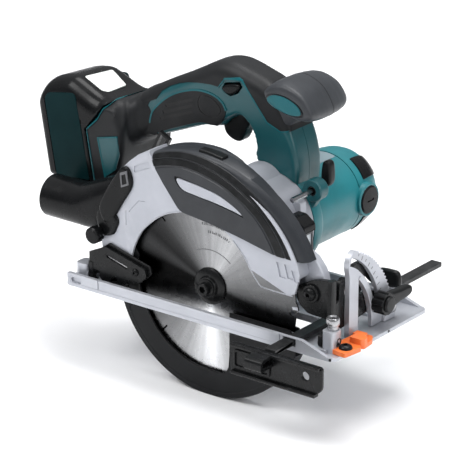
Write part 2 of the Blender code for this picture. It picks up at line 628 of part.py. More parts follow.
def make_armature():
    origin = (MOTOR[0], 50, MOTOR[1])
    phase = mesh_phase(STAGE_1[0], 0.5) + STAGE_1[0] / 2
    shaft = prism("armature_shaft", gear_outline(MOTOR, STAGE_1[0], phase), "y", -5.2, 3.2, STEEL, origin)
    fuse(shaft, disc("rod", MOTOR, 4, "y", 3.0, 95, STEEL, 24), disc("rod", MOTOR, 3, "y", 94.5, 103.8, STEEL, 24))
    slots = []
    for i in range(12):
        a = 30 * i
        slots += arc(MOTOR, 22.6, a - 11.5, a + 11.5, 3) + arc(MOTOR, 12, a + 13.5, a + 16.5, 1)
    core = prism("armature_core", slots, "y", 36, 74, COPPER, origin)
    cut(core, disc("bore", MOTOR, 4 + GAP, "y", 30, 80, n=24))
    ring("commutator", MOTOR, 4 + GAP, 10, "y", 84, 94.5, COPPER, 32, origin)
    blades = []
    for i in range(10):
        a = 36 * i
        blades += arc(MOTOR, 27, a, a + 8, 1) + arc(MOTOR, 10, a + 10, a + 34, 2)
    fan = prism("fan", blades, "y", 19, 29, BLACK, origin)
    cut(fan, disc("bore", MOTOR, 4 + GAP, "y", 10, 40, n=24))


# --- lower guard --------------------------------------------------------------------------------
def make_lower_guard():
    origin = (SPINDLE[0], -43, SPINDLE[1])
    low = math.degrees(math.acos(GUARD_FRONT / GUARD_R))
    outline = arc(SPINDLE, GUARD_R, 160, 360 - low, 44) + [(GUARD_FRONT, -2), (84, 6), (32, 12)]
    outline += arc(SPINDLE, 30.5, -20, 170, 16) + [(-52, 44)]
    guard = prism("lower_guard", outline, "y", GUARD_Y[0], GUARD_Y[1], BLACK_STEEL, origin)
    inner = arc(SPINDLE, GUARD_R - 1.8, 155, 360, 44) + [(GUARD_R, 70), (-60, 80)]
    cut(guard, prism("channel", inner, "y", GUARD_Y[0] + 1.5, GUARD_Y[1] - 1.6))
    window = arc(SPINDLE, 74, 150, 278, 28) + [(16, -45), (20, -38), (22, -19), (22, -4), (98, -4), (98, 60),
                                               (0, 110)]
    cut(guard, prism("window", window, "y", GUARD_Y[0] - 3, GUARD_Y[0] + 4))
    fuse(guard, disc("hub", SPINDLE, 28, "y", GUARD_Y[1] - 1.2, -33.4, BLACK_STEEL, 36))
    cut(guard, disc("hub_way", SPINDLE, 23.2, "y", GUARD_Y[1] - 6, -30, n=44))
    return guard


def make_guard_spring():
    ring("guard_spring", SPINDLE, 28.6, 31.4, "y", -36.2, -33.6, STEEL, 40)


# --- handle -------------------------------------------------------------------------------------
HANDLE = [(-122, 149), (-112, 158.5), (-96, 167), (-50, 188.5), (-36, 197), (-21, 200.5), (-9, 198.8), (5, 194.5),
          (20, 189), (20, 172), (43, 172), (44, 156), (48, 143), (51, 130), (50, 118)]
HANDLE_LOW = [(8, 124), (8, 137), (4, 147.5), (-2, 154), (-12, 156), (-34, 143), (-49, 143), (-76, 132.5),
              (-100, 123), (-113, 119), (-117, 110)]


def make_handle():
    outline = HANDLE + arc(MOTOR, 43 + 2 * GAP, 53, 100, 12) + HANDLE_LOW
    for name, lo, hi, face in (("handle_near", HANDLE_Y - GRIP_HALF, HANDLE_Y - GAP / 2, 1),
                               ("handle_far", HANDLE_Y + GAP / 2, HANDLE_Y + GRIP_HALF, -1)):
        half = prism(name, outline, "y", lo, hi, TEAL)
        grip = [(-106, 153), (-94, 161), (-48, 182), (-32, 191), (-18, 193.5), (2, 189), (12, 183), (2, 162),
                (-12, 161), (-36, 150), (-52, 149), (-100, 131)]
        post = [(8, 166), (38, 166), (42, 155), (46, 137), (46, 122), (26, 125), (17, 128), (17, 140), (11, 152),
                (4, 159)]
        a, b = (lo + 2.6, hi + 2) if face > 0 else (lo - 2, hi - 2.6)
        cut(half, prism("grip_room", grip, "y", a, b), prism("post_room", post, "y", a, b))
        cut(half, box("trigger_way", (-38.4, HANDLE_Y - 9.4, 128), (-4.4, HANDLE_Y + 9.4, 170)))
        if face > 0:
            cut(half, prism("button_way", circle((-20, 184), 7.3, 6), "y", lo - 3, lo + 6))
    return None


def make_grip_rubber():
    pad = [(-104, 150), (-96, 160), (-54, 179), (-44, 176), (-46, 156), (-58, 150), (-98, 134)]
    for name, face in (("grip_pad_near", -1), ("grip_pad_far", 1)):
        y = HANDLE_Y + face * (GRIP_HALF + GAP)
        lo, hi = sorted((y, y + face * 1.6))
        prism(name, pad, "y", lo, hi, RUBBER)


def make_knob():
    centre, half = (45.0, HANDLE_Y, 183.0), (27.0, 40.0, 19.0)
    tilt = math.radians(-14)
    verts, faces = [], []
    rows, cols = 14, 28
    for i in range(1, rows):
        lat = math.pi * i / rows
        for j in range(cols):
            lon = 2 * math.pi * j / cols
            r = math.sin(lat) ** 0.72
            c, s = math.cos(lon), math.sin(lon)
            dx = math.copysign(abs(c) ** 0.85, c) * r * half[0]
            dz = math.copysign(abs(s) ** 0.85, s) * r * half[2]
            dx, dz = dx * math.cos(tilt) - dz * math.sin(tilt), dx * math.sin(tilt) + dz * math.cos(tilt)
            verts.append((centre[0] + dx, centre[1] - math.cos(lat) * half[1], centre[2] + dz))
    for i in range(rows - 2):
        for j in range(cols):
            k = (j + 1) % cols
            faces.append((i * cols + j, i * cols + k, (i + 1) * cols + k, (i + 1) * cols + j))
    faces.append(tuple(range(cols)))
    faces.append(tuple(range((rows - 2) * cols, (rows - 1) * cols)))
    knob = mesh_object("front_knob", verts, faces, BLACK)
    y0, y1 = HANDLE_Y - GRIP_HALF - GAP, HANDLE_Y + GRIP_HALF + GAP
    cut(knob, box("seat", (-10, y0, 140), (90, y1, 172 + GAP)))
    cut(knob, box("seat_2", (-10, y0, 160), (20 + GAP, y1, 215)))
    return knob


def make_trigger():
    outline = [(-8, 166), (-30, 162), (-36, 150), (-32, 139), (-23, 130.5), (-14.5, 131), (-10, 145)]
    pivot = (-12, 160)
    prism("trigger", outline, "y", HANDLE_Y - 8.6, HANDLE_Y + 8.6, BLACK, (pivot[0], HANDLE_Y, pivot[1]))


def make_lock_off():
    y = HANDLE_Y - GRIP_HALF
    prism("lock_off_button", circle((-20, 184), 6.8, 6), "y", y - 3.2, y + 2.2, BLACK, (-20, y, 184))


def make_switch():
    box("switch_body", (18, HANDLE_Y - 10, 142), (34, HANDLE_Y + 10, 158), BLACK)


# --- battery ------------------------------------------------------------------------------------
def leaned(outline):
    return [turned(p, (-150.0, 75.0), BATTERY_TILT) for p in outline]


def make_battery():
    y0, y1 = HANDLE_Y - 37.0, HANDLE_Y + 37.0
    mount = leaned([(-146, 68), (-124, 66), (-106, 90), (-98, 105), (-94, 130), (-100, 146), (-118, 150),
                    (-126.6, 146.6), (-126.6, 133.6), (-146, 117.6)])
    body = prism("battery_mount", mount, "y", y0 + 3, y1 - 3, BLACK)
    groove = leaned([(-148, 60), (-139.6, 60), (-139.6, 170), (-148, 170)])
    cut(body, prism("groove", groove, "y", HANDLE_Y - 27.4, HANDLE_Y + 27.4))
    cut(body, box("handle_seat", (-124, HANDLE_Y - GRIP_HALF - GAP, 106), (-80, HANDLE_Y + GRIP_HALF + GAP, 200)))
    case = leaned([(-197, 72), (-194, 68), (-146.4, 66), (-146.4, 118), (-127, 134), (-127, 147), (-176, 163.5),
                   (-190, 163), (-203, 153), (-207, 143)])
    battery = prism("battery_case", case, "y", y0, y1, BLACK)
    crown = [(y0 - 1, 40), (y1 + 1, 40), (y1 + 1, 144), (y1 - 5, 153), (y1 - 16, 160), (y1 - 26, 200),
             (y0 + 26, 200), (y0 + 16, 160), (y0 + 5, 153), (y0 - 1, 144)]
    combine(battery, prism("crown", crown, "x", -260, -60), "INTERSECT")
    tongue = leaned([(-149, 70), (-140, 70), (-140, 112), (-149, 112)])
    fuse(battery, prism("tongue", tongue, "y", HANDLE_Y - 27, HANDLE_Y + 27, BLACK))
    way = leaned([(-162, 142.4), (-141, 142.4), (-141, 190), (-162, 190)])
    cut(battery, prism("button_way", way, "y", HANDLE_Y - 14.6, HANDLE_Y + 14.6))
    button = leaned([(-161.6, 146.4), (-141.4, 146.4), (-141.4, 153), (-161.6, 160)])
    origin = leaned([(-151.5, 150)])[0]
    prism("battery_release", button, "y", HANDLE_Y - 14.2, HANDLE_Y + 14.2, GREY, (origin[0], HANDLE_Y, origin[1]))


# --- small pieces on the body -------------------------------------------------------------------
def make_shaft_lock():
    x = SPINDLE[0] - 21.4
    profile = [(0, x - 10), (4.5, x - 10), (4.5, x - 5), (2.2, x - 5), (2.2, x), (0, x)]
    lathe("shaft_lock", (LOCK_Y, SPINDLE[1]), profile, "x", BLACK, 16, (x, LOCK_Y, SPINDLE[1]))


def make_depth_lever():
    x, z = guide_point()
    lathe("depth_bolt", (x, z), [(0, -36), (3, -36), (3, -6), (0, -6)], "y", STEEL, 20)
    lever = ring("depth_lever", (x, z), 3 + GAP, 8, "y", -15.6, -8, BLACK, 24, (x, -12, z))
    arm = [(x - 44, z + 12), (x - 42, z + 5), (x - 5, z - 6), (x - 5, z + 6)]
    fuse(lever, prism("arm", arm, "y", -14.5, -9, BLACK))
    return lever


def make_wrench():
    wrench = disc("hex_wrench", KEY, 2.3, "y", -24, 28, STEEL, 6, (KEY[0], 0, KEY[1]))
    fuse(wrench, disc("short_arm", (KEY[0], 26), 2.3, "z", KEY[1] - 1, KEY[1] + 18, STEEL, 6))
    return wrench


def main():
    clear_scene()
    make_base()
    make_tilt_pins()
    make_quadrant()
    make_sight()
    make_fence()
    make_fence_clamp()
    make_front_bracket()
    make_rear_bracket()
    make_depth_guide()
    make_depth_pivot()
    make_bevel_clamp()
    make_blade_case()
    make_hood()
    make_nozzle()
    make_nozzle_screw()
    make_lamp()
    make_gear_case()
    make_gear_plate()
    make_motor_housing()
    make_end_cover()
    make_brush_caps()
    make_stator()
    make_bearings()
    make_blade()
    make_flanges()
    make_spindle()
    make_second_shaft()
    make_armature()
    make_lower_guard()
    make_guard_spring()
    make_handle()
    make_grip_rubber()
    make_knob()
    make_trigger()
    make_lock_off()
    make_switch()
    make_battery()
    make_shaft_lock()
    make_depth_lever()
    make_wrench()


main()
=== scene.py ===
"""Looks for the cordless circular saw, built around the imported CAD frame.

Lengths below are drawing units, as in the part: one unit is 0.922 mm. x runs in the cutting direction from
the blade's axis, y towards the motor from the middle of the base, and z up from the sole. The blade's plane is
y = -45.8. Outlines across "x" are (y, z) points, across "y" (x, z) points and across "z" (x, y) points.
"""
import math

import bmesh
import bpy
from mathutils import Matrix, Vector


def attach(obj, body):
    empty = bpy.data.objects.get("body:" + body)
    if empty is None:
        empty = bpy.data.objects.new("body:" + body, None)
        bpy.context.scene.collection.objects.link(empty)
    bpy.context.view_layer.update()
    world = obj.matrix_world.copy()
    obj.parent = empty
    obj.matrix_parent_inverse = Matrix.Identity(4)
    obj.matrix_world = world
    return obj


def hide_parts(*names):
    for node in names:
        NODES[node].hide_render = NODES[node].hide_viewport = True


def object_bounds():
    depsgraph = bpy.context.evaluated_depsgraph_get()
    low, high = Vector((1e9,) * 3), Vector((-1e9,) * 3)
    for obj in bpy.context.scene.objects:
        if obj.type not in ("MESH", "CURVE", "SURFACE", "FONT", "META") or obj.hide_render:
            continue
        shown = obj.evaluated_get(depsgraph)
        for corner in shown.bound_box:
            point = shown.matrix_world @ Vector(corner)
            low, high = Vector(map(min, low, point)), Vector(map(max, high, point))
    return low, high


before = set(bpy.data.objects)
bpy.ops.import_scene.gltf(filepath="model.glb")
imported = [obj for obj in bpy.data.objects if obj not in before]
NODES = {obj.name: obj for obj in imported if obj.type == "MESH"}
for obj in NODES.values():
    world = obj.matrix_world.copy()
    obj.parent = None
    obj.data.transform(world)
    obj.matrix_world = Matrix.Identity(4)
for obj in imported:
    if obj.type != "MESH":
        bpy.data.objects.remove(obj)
CAD_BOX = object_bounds()

BLADE_RADIUS = 89.5             # to the tips of the teeth
BLADE_MM = 165.0                # the blade's real diameter
U = 0.001 * (BLADE_MM / 2) / BLADE_RADIUS       # metres in one drawing unit
SPINDLE = (0.0, 25.5)           # blade axis, x and z
MOTOR = (24.0, 75.0)            # motor axis, x and z
DEPTH = (101.0, 43.0)           # depth pivot, x and z
TILT = (-53.0, 9.0)             # bevel axis, y and z
CLAMP = (12.283, 24.072)        # bevel clamp screw, y and z
CASE_RADIUS = 101.6             # outside of the blade case's top
CAVITY_RADIUS = 98.8            # inside it, round the blade
GUARD_RADIUS = 97.0             # outside of the lower guard's walls
GUARD_FRONT = 88.6              # x of the guard's front end
THUMB = (-113.0, 48.5)          # thumb screw that holds the nozzle, x and z
MID_Y = 22.0                    # middle plane of handle and battery
SHARP_EDGE = 32.0               # faces that meet at more than this, in degrees, keep a crisp edge
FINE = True


# --- materials ----------------------------------------------------------------------------------
def link(tree, a, b):
    """Joins an output socket to an input socket."""
    tree.links.new(a, b)


def add(tree, kind, **values):
    """A shader node; each value goes to the socket or the setting of that name."""
    item = tree.nodes.new(kind)
    for key, value in values.items():
        if key in item.inputs:
            item.inputs[key].default_value = value
        else:
            setattr(item, key, value)
    return item


def mixed(tree, factor, low, high):
    """A colour between two; low and high are colours or sockets."""
    mix = tree.nodes.new("ShaderNodeMix")
    mix.data_type = "RGBA"
    link(tree, factor, mix.inputs[0])
    for socket, value in ((mix.inputs[6], low), (mix.inputs[7], high)):
        if isinstance(value, tuple):
            socket.default_value = (*value, 1.0)
        else:
            link(tree, value, socket)
    return mix.outputs[2]


def ranged(tree, value, a, b, lo, hi):
    """A value from a..b mapped to lo..hi."""
    item = add(tree, "ShaderNodeMapRange")
    link(tree, value, item.inputs["Value"])
    for key, number in (("From Min", a), ("From Max", b), ("To Min", lo), ("To Max", hi)):
        item.inputs[key].default_value = number
    return item.outputs["Result"]


def noise(tree, where, scale, detail=3.0, stretch=None):
    """A noise value, stretched along the axes if asked."""
    if stretch:
        mapping = add(tree, "ShaderNodeMapping")
        mapping.inputs["Scale"].default_value = stretch
        link(tree, where, mapping.inputs["Vector"])
        where = mapping.outputs["Vector"]
    item = add(tree, "ShaderNodeTexNoise", Scale=scale, Detail=detail)
    link(tree, where, item.inputs["Vector"])
    return item.outputs["Fac"]


ROUGH_SPREAD = 0.07             # how far a finish's roughness wanders to either side
GRAIN_DEPTH = 0.0003            # metres


def surface(name, colour, metallic=0.0, rough=0.45, grain=1100.0, bump=0.12, shade=0.10,
            stretch=None, wear=0.0, worn=(0.3, 0.3, 0.3), coat=0.0, specular=0.5):
    """A procedural finish: mottled colour, uneven roughness, fine grain and lighter worn edges."""
    mat = bpy.data.materials.new(name)
    mat.use_nodes = True
    tree = mat.node_tree
    shader = tree.nodes["Principled BSDF"]
    shader.inputs["Metallic"].default_value = metallic
    shader.inputs["Coat Weight"].default_value = coat
    shader.inputs["Coat Roughness"].default_value = 0.12
    shader.inputs["Specular IOR Level"].default_value = specular
    where = add(tree, "ShaderNodeTexCoord").outputs["Object"]
    broad = noise(tree, where, 38.0, 4.0)
    low = tuple(c * (1 - shade) for c in colour)
    high = tuple(min(1.0, c * (1 + shade) + 0.002) for c in colour)
    base = mixed(tree, ranged(tree, broad, 0.3, 0.7, 0.0, 1.0), low, high)
    if wear:
        edge = add(tree, "ShaderNodeNewGeometry").outputs["Pointiness"]
        rubbed = ranged(tree, edge, 0.515, 0.60, 0.0, wear)
        patchy = ranged(tree, noise(tree, where, 160.0), 0.40, 0.62, 0.0, 1.0)
        both = add(tree, "ShaderNodeMath", operation="MULTIPLY")
        link(tree, rubbed, both.inputs[0])
        link(tree, patchy, both.inputs[1])
        base = mixed(tree, both.outputs[0], base, worn)
    link(tree, base, shader.inputs["Base Color"])
    patch = noise(tree, where, 95.0, 5.0, stretch)
    uneven = ranged(tree, patch, 0.25, 0.75, rough - ROUGH_SPREAD, rough + ROUGH_SPREAD)
    link(tree, uneven, shader.inputs["Roughness"])
    fine = noise(tree, where, grain, 2.0, stretch)
    bumps = add(tree, "ShaderNodeBump", Strength=bump, Distance=GRAIN_DEPTH)
    link(tree, fine, bumps.inputs["Height"])
    link(tree, bumps.outputs["Normal"], shader.inputs["Normal"])
    return mat


TEAL_C = (0.0035, 0.072, 0.084)
TEAL = surface("teal_moulding", TEAL_C, rough=0.34, grain=1500, bump=0.14, wear=0.2, worn=(0.03, 0.24, 0.27))
TEAL_MOTOR = surface("teal_motor_shell", (0.008, 0.165, 0.19), rough=0.38, grain=1500, bump=0.14, wear=0.15,
                     worn=(0.03, 0.26, 0.29))
TEAL_TRIM = surface("teal_trim", (0.005, 0.100, 0.118), rough=0.34, grain=1700, bump=0.10, wear=0.15,
                    specular=0.25, worn=(0.04, 0.22, 0.25))
BLACK = surface("black_moulding", (0.0055, 0.006, 0.0065), rough=0.34, grain=1500, bump=0.14, wear=0.15,
                specular=0.22, worn=(0.05, 0.052, 0.056))
GLOSS = surface("black_gloss", (0.004, 0.0043, 0.0048), rough=0.25, grain=900, bump=0.05, wear=0.06,
                specular=0.16, worn=(0.03, 0.032, 0.035))
CHARCOAL = surface("charcoal_moulding", (0.020, 0.0225, 0.027), rough=0.42, grain=1500, bump=0.16, wear=0.2,
                   specular=0.36, worn=(0.08, 0.085, 0.092))
SOFT = surface("soft_rubber", (0.0085, 0.0093, 0.0105), rough=0.48, grain=1900, bump=0.26, shade=0.16,
               wear=0.15, specular=0.26, worn=(0.04, 0.042, 0.045))
KNOB_GREY = surface("front_grip_rubber", (0.030, 0.033, 0.038), rough=0.46, grain=1900, bump=0.24, wear=0.15,
                    specular=0.36, worn=(0.07, 0.073, 0.078))
LABEL = surface("label_panel", (0.0012, 0.016, 0.018), rough=0.36, grain=700, bump=0.05, specular=0.05)
SILVER = surface("cast_silver", (0.43, 0.445, 0.49), metallic=0.3, rough=0.42, grain=1300, bump=0.10,
                 shade=0.04, wear=0.35, worn=(0.55, 0.56, 0.60))
ALLOY = surface("machined_alloy", (0.46, 0.475, 0.515), metallic=0.45, rough=0.38, grain=1500, bump=0.14,
                shade=0.05, wear=0.35, worn=(0.60, 0.61, 0.64))
STEEL = surface("bright_steel", (0.40, 0.40, 0.41), metallic=1.0, rough=0.26, grain=2200, bump=0.08,
                shade=0.05, wear=0.2, worn=(0.7, 0.7, 0.7))
BLACKED = surface("blacked_steel", (0.0046, 0.005, 0.0054), rough=0.26, grain=1300, bump=0.10,
                  wear=0.14, specular=0.2, worn=(0.06, 0.06, 0.063))
BRUSHED_BLACK = surface("brushed_black_bar", (0.014, 0.0145, 0.0155), metallic=0.5, rough=0.32, grain=2400,
                        bump=0.25, stretch=(1.0, 0.04, 1.0), wear=0.25, worn=(0.14, 0.14, 0.14))
GUARD_BLACK = surface("guard_black", (0.0075, 0.008, 0.009), rough=0.42, grain=1500, bump=0.12,
                      wear=0.2, specular=0.16, worn=(0.05, 0.05, 0.053))
ORANGE = surface("orange_moulding", (0.80, 0.17, 0.035), rough=0.38, grain=1300, bump=0.12, wear=0.3,
                 worn=(0.95, 0.36, 0.15))
PLATE_GREY = surface("rating_plate_blank", (0.20, 0.27, 0.30), rough=0.34, grain=900, bump=0.05, shade=0.05)
WHITE = surface("blank_plate", (0.72, 0.75, 0.72), rough=0.30, grain=900, bump=0.05, shade=0.03)
# Near black: painted shade in grooves, gaps and holes, and the dark seam line of the front grip.
SHADE_AND_SEAM_BLACK = surface("painted_recess_shade_and_seams", (0.003, 0.003, 0.0035), rough=0.6, grain=900, bump=0.1)
MARK = surface("grey_marking", (0.12, 0.122, 0.13), rough=0.5, grain=900, bump=0.05)
ETCH = surface("etched_marking", (0.085, 0.088, 0.092), rough=0.45, grain=900, bump=0.05)
COPPER = surface("copper_windings", (0.60, 0.25, 0.11), metallic=1.0, rough=0.34, grain=1700, bump=0.3)
LENS = surface("lamp_lens_clear", (0.70, 0.74, 0.78), rough=0.12, grain=500, bump=0.04, coat=0.4)

# Painted reflection on the ground blade: the grey of its colour round the arbor, in soft radial fans of
# reflected light; degrees from +X towards +Z, then grey.
PAINTED_REFLECTION_FANS = ((-180, 0.003), (-167, 0.010), (-150, 0.10), (-132, 0.17), (-112, 0.31), (-97, 0.62), (-88, 0.84),
        (-77, 0.46), (-52, 0.19), (-32, 0.09), (-20, 0.018), (-10, 0.014), (-3, 0.07), (18, 0.15), (45, 0.24),
        (62, 0.40), (84, 0.31), (108, 0.20), (126, 0.10), (138, 0.035), (150, 0.015), (160, 0.035),
        (169, 0.004), (180, 0.003))


def blade_finish():
    """Ground steel: fine rings about the arbor, and soft radial fans of reflected light painted into its
    colour.
    """
    mat = surface("ground_blade", (0.50, 0.50, 0.51), metallic=1.0, rough=0.27, grain=1800, bump=0.05)
    tree = mat.node_tree
    shader = tree.nodes["Principled BSDF"]
    where = add(tree, "ShaderNodeTexCoord").outputs["Object"]
    parts = add(tree, "ShaderNodeSeparateXYZ")
    link(tree, where, parts.inputs["Vector"])
    dz = add(tree, "ShaderNodeMath", operation="SUBTRACT")
    link(tree, parts.outputs["Z"], dz.inputs[0])
    dz.inputs[1].default_value = SPINDLE[1] * U
    flat = add(tree, "ShaderNodeCombineXYZ")
    link(tree, parts.outputs["X"], flat.inputs["X"])
    link(tree, dz.outputs[0], flat.inputs["Y"])
    radius = add(tree, "ShaderNodeVectorMath", operation="LENGTH")
    link(tree, flat.outputs["Vector"], radius.inputs[0])
    rings = add(tree, "ShaderNodeTexNoise", Scale=2600.0, Detail=2.0)
    rings.noise_dimensions = "1D"
    link(tree, radius.outputs["Value"], rings.inputs["W"])
    bumps = add(tree, "ShaderNodeBump", Strength=0.22, Distance=0.0002)
    link(tree, rings.outputs["Fac"], bumps.inputs["Height"])
    link(tree, bumps.outputs["Normal"], shader.inputs["Normal"])
    angle = add(tree, "ShaderNodeMath", operation="ARCTAN2")
    link(tree, dz.outputs[0], angle.inputs[0])
    link(tree, parts.outputs["X"], angle.inputs[1])
    place = ranged(tree, angle.outputs[0], -math.pi, math.pi, 0.0, 1.0)
    # Painted reflection: the blade's whole colour comes from these light and dark fans by angle, varied a
    # little by angle.
    ramp = add(tree, "ShaderNodeValToRGB")
    stops = ramp.color_ramp.elements
    while len(stops) < len(PAINTED_REFLECTION_FANS):
        stops.new(0.5)
    for stop, (degrees, grey) in zip(stops, PAINTED_REFLECTION_FANS):
        stop.position = (degrees + 180) / 360
        stop.color = (grey, grey * 1.01, grey * 1.03, 1.0)
    link(tree, place, ramp.inputs["Fac"])
    reflection_streaks = add(tree, "ShaderNodeTexNoise", Scale=9.0, Detail=2.0)
    reflection_streaks.noise_dimensions = "1D"
    link(tree, angle.outputs[0], reflection_streaks.inputs["W"])
    level = ranged(tree, reflection_streaks.outputs["Fac"], 0.3, 0.7, 0.92, 1.08)
    reflection_tone = add(tree, "ShaderNodeVectorMath", operation="SCALE")
    link(tree, ramp.outputs["Color"], reflection_tone.inputs[0])
    link(tree, level, reflection_tone.inputs["Scale"])
    link(tree, reflection_tone.outputs["Vector"], shader.inputs["Base Color"])
    return mat


GROUND = blade_finish()


# --- building blocks ----------------------------------------------------------------------------
AXES = {"x": (1, 2, 0), "y": (0, 2, 1), "z": (0, 1, 2)}


def point(axis, a, b, c):
    """The point whose outline coordinates are a and b, at place c along the axis."""
    out = [0.0, 0.0, 0.0]
    for place, value in zip(AXES[axis], (a, b, c)):
        out[place] = value
    return tuple(out)


def placed(name, data):
    """A new object in the scene."""
    ob = bpy.data.objects.new(name, data)
    bpy.context.scene.collection.objects.link(ob)
    return ob


def make(name, verts, faces):
    """A mesh object from drawing-unit points."""
    mesh = bpy.data.meshes.new(name)
    mesh.from_pydata([Vector(v) * U for v in verts], [], faces)
    tidy_mesh(mesh)
    return placed(name, mesh)


def tidy_mesh(mesh):
    """Merges doubled points and turns every face outwards."""
    bm = bmesh.new()
    bm.from_mesh(mesh)
    bmesh.ops.remove_doubles(bm, verts=bm.verts, dist=2e-6)
    bmesh.ops.recalc_face_normals(bm, faces=bm.faces)
    bm.to_mesh(mesh)
    bm.free()


def loft(name, rings, closed=False):
    """A skin over rings of the same number of points, capped at both ends unless it closes on itself."""
    n, rows = len(rings[0]), len(rings)
    faces = []
    for i in range(rows if closed else rows - 1):
        k = (i + 1) % rows
        faces += [(i * n + j, i * n + (j + 1) % n, k * n + (j + 1) % n, k * n + j) for j in range(n)]
    if not closed:
        faces.append(tuple(range(n))[::-1])
        faces.append(tuple((rows - 1) * n + j for j in range(n)))
    return make(name, [p for ring in rings for p in ring], faces)


def prism(name, outline, axis, lo, hi, holes=()):
    """An outline, with any holes, across an axis from lo to hi."""
    if not holes:
        n = len(outline)
        verts = [point(axis, a, b, lo) for a, b in outline] + [point(axis, a, b, hi) for a, b in outline]
        faces = [tuple(range(n))[::-1], tuple(range(n, 2 * n))]
        faces += [(i, (i + 1) % n, n + (i + 1) % n, n + i) for i in range(n)]
        return make(name, verts, faces)
    bm = bmesh.new()
    edges = []
    for loop in [outline, *holes]:
        ring_verts = [bm.verts.new(Vector(point(axis, a, b, lo)) * U) for a, b in loop]
        edges += [bm.edges.new((v, ring_verts[(i + 1) % len(ring_verts)])) for i, v in enumerate(ring_verts)]
    bmesh.ops.triangle_fill(bm, use_beauty=True, use_dissolve=True, edges=edges)
    got = bmesh.ops.extrude_face_region(bm, geom=list(bm.faces))
    moved = [v for v in got["geom"] if isinstance(v, bmesh.types.BMVert)]
    shift = Vector(point(axis, 0, 0, hi - lo)) * U
    bmesh.ops.translate(bm, verts=moved, vec=shift)
    bmesh.ops.recalc_face_normals(bm, faces=bm.faces)
    mesh = bpy.data.meshes.new(name)
    bm.to_mesh(mesh)
    bm.free()
    return placed(name, mesh)


def box(name, lo, hi):
    """A box between two corners."""
    return prism(name, [(lo[0], lo[1]), (hi[0], lo[1]), (hi[0], hi[1]), (lo[0], hi[1])], "z", lo[2], hi[2])


def arc(centre, radius, a0, a1, n):
    """n + 1 points on a circle, from angle a0 to a1 in degrees."""
    out = []
    for i in range(n + 1):
        t = math.radians(a0 + (a1 - a0) * i / n)
        out.append((centre[0] + radius * math.cos(t), centre[1] + radius * math.sin(t)))
    return out


def circle(centre, radius, n=48):
    """A closed circle."""
    return arc(centre, radius, 0, 360, n)[:-1]


def rounded(outline, radius, n=4):
    """The outline with each corner rounded; radius is one number or one for each corner."""
    out = []
    count = len(outline)
    for i, here in enumerate(outline):
        r = radius[i] if isinstance(radius, (list, tuple)) else radius
        here = Vector(here)
        before, after = Vector(outline[i - 1]), Vector(outline[(i + 1) % count])
        d0, d1 = (before - here), (after - here)
        reach = min(r, d0.length * 0.48, d1.length * 0.48)
        if reach < 0.05:
            out.append(tuple(here))
            continue
        p0, p1 = here + d0.normalized() * reach, here + d1.normalized() * reach
        for k in range(n + 1):
            t = k / n
            q = p0 * (1 - t) ** 2 + here * 2 * t * (1 - t) + p1 * t ** 2
            out.append(tuple(q))
    return out


def curved(points, per=6, closed=True):
    """A smooth curve through the points."""
    out = []
    n = len(points)
    spans = n if closed else n - 1
    for i in range(spans):
        if closed:
            p = [Vector(points[(i + k) % n]) for k in (-1, 0, 1, 2)]
        else:
            p = [Vector(points[max(0, min(n - 1, i + k))]) for k in (-1, 0, 1, 2)]
        for k in range(per):
            t = k / per
            q = 0.5 * ((2 * p[1]) + (p[2] - p[0]) * t + (2 * p[0] - 5 * p[1] + 4 * p[2] - p[3]) * t * t
                       + (3 * p[1] - p[0] - 3 * p[2] + p[3]) * t ** 3)
            out.append(tuple(q))
    if not closed:
        out.append(tuple(points[-1]))
    return out


def lathe(name, centre, profile, axis, n=64, a0=0.0, a1=360.0):
    """A closed profile of (radius, place along the axis), turned about it."""
    whole = abs(a1 - a0) > 359.9
    m = len(profile)
    steps = n if whole else n + 1
    verts, faces = [], []
    for i in range(steps):
        t = math.radians(a0 + (a1 - a0) * i / n)
        for r, h in profile:
            verts.append(point(axis, centre[0] + r * math.cos(t), centre[1] + r * math.sin(t), h))
    for i in range(n):
        k = (i + 1) % steps
        for j in range(m):
            q = (j + 1) % m
            quad = [i * m + j, i * m + q, k * m + q, k * m + j]
            if profile[j][0] < 1e-6 and profile[q][0] < 1e-6:
                continue
            if profile[j][0] < 1e-6:
                quad = quad[:3]
            elif profile[q][0] < 1e-6:
                quad = [quad[0], quad[1], quad[3]]
            faces.append(tuple(quad))
    if not whole:
        faces.append(tuple(range(m))[::-1])
        faces.append(tuple((steps - 1) * m + j for j in range(m)))
    return make(name, verts, faces)


def tube(name, path, radius, n=10):
    """A round bar along a path of points."""
    pts = [Vector(p) for p in path]
    rings = []
    side = None
    for i, p in enumerate(pts):
        ahead = pts[i + 1] if i < len(pts) - 1 else p
        behind = pts[i - 1] if i > 0 else p
        d = (ahead - behind).normalized()
        if side is None:
            side = d.orthogonal().normalized()
        side = (side - d * side.dot(d)).normalized()
        up = d.cross(side)
        turns = [2 * math.pi * j / n for j in range(n)]
        rings.append([tuple(p + (side * math.cos(t) + up * math.sin(t)) * radius) for t in turns])
    return loft(name, rings)


def settle(ob):
    """Applies an object's modifiers."""
    bpy.context.view_layer.update()
    graph = bpy.context.evaluated_depsgraph_get()
    mesh = bpy.data.meshes.new_from_object(ob.evaluated_get(graph))
    ob.modifiers.clear()
    old = ob.data
    ob.data = mesh
    bpy.data.meshes.remove(old)
    mesh.name = ob.name
    mesh.materials.clear()
    return ob


def combine(ob, other, operation):
    """A boolean that uses the second object up."""
    mod = ob.modifiers.new("combine", "BOOLEAN")
    mod.operation = operation
    mod.solver = "EXACT"
    mod.object = other
    settle(ob)
    bpy.data.objects.remove(other, do_unlink=True)
    return ob


def cut(ob, *others):
    """Takes the other solids away."""
    for other in others:
        combine(ob, other, "DIFFERENCE")
    return ob


def fuse(ob, *others):
    """Adds the other solids."""
    for other in others:
        combine(ob, other, "UNION")
    return ob


def within(ob, other):
    """Keeps what lies inside the other solid."""
    return combine(ob, other, "INTERSECT")


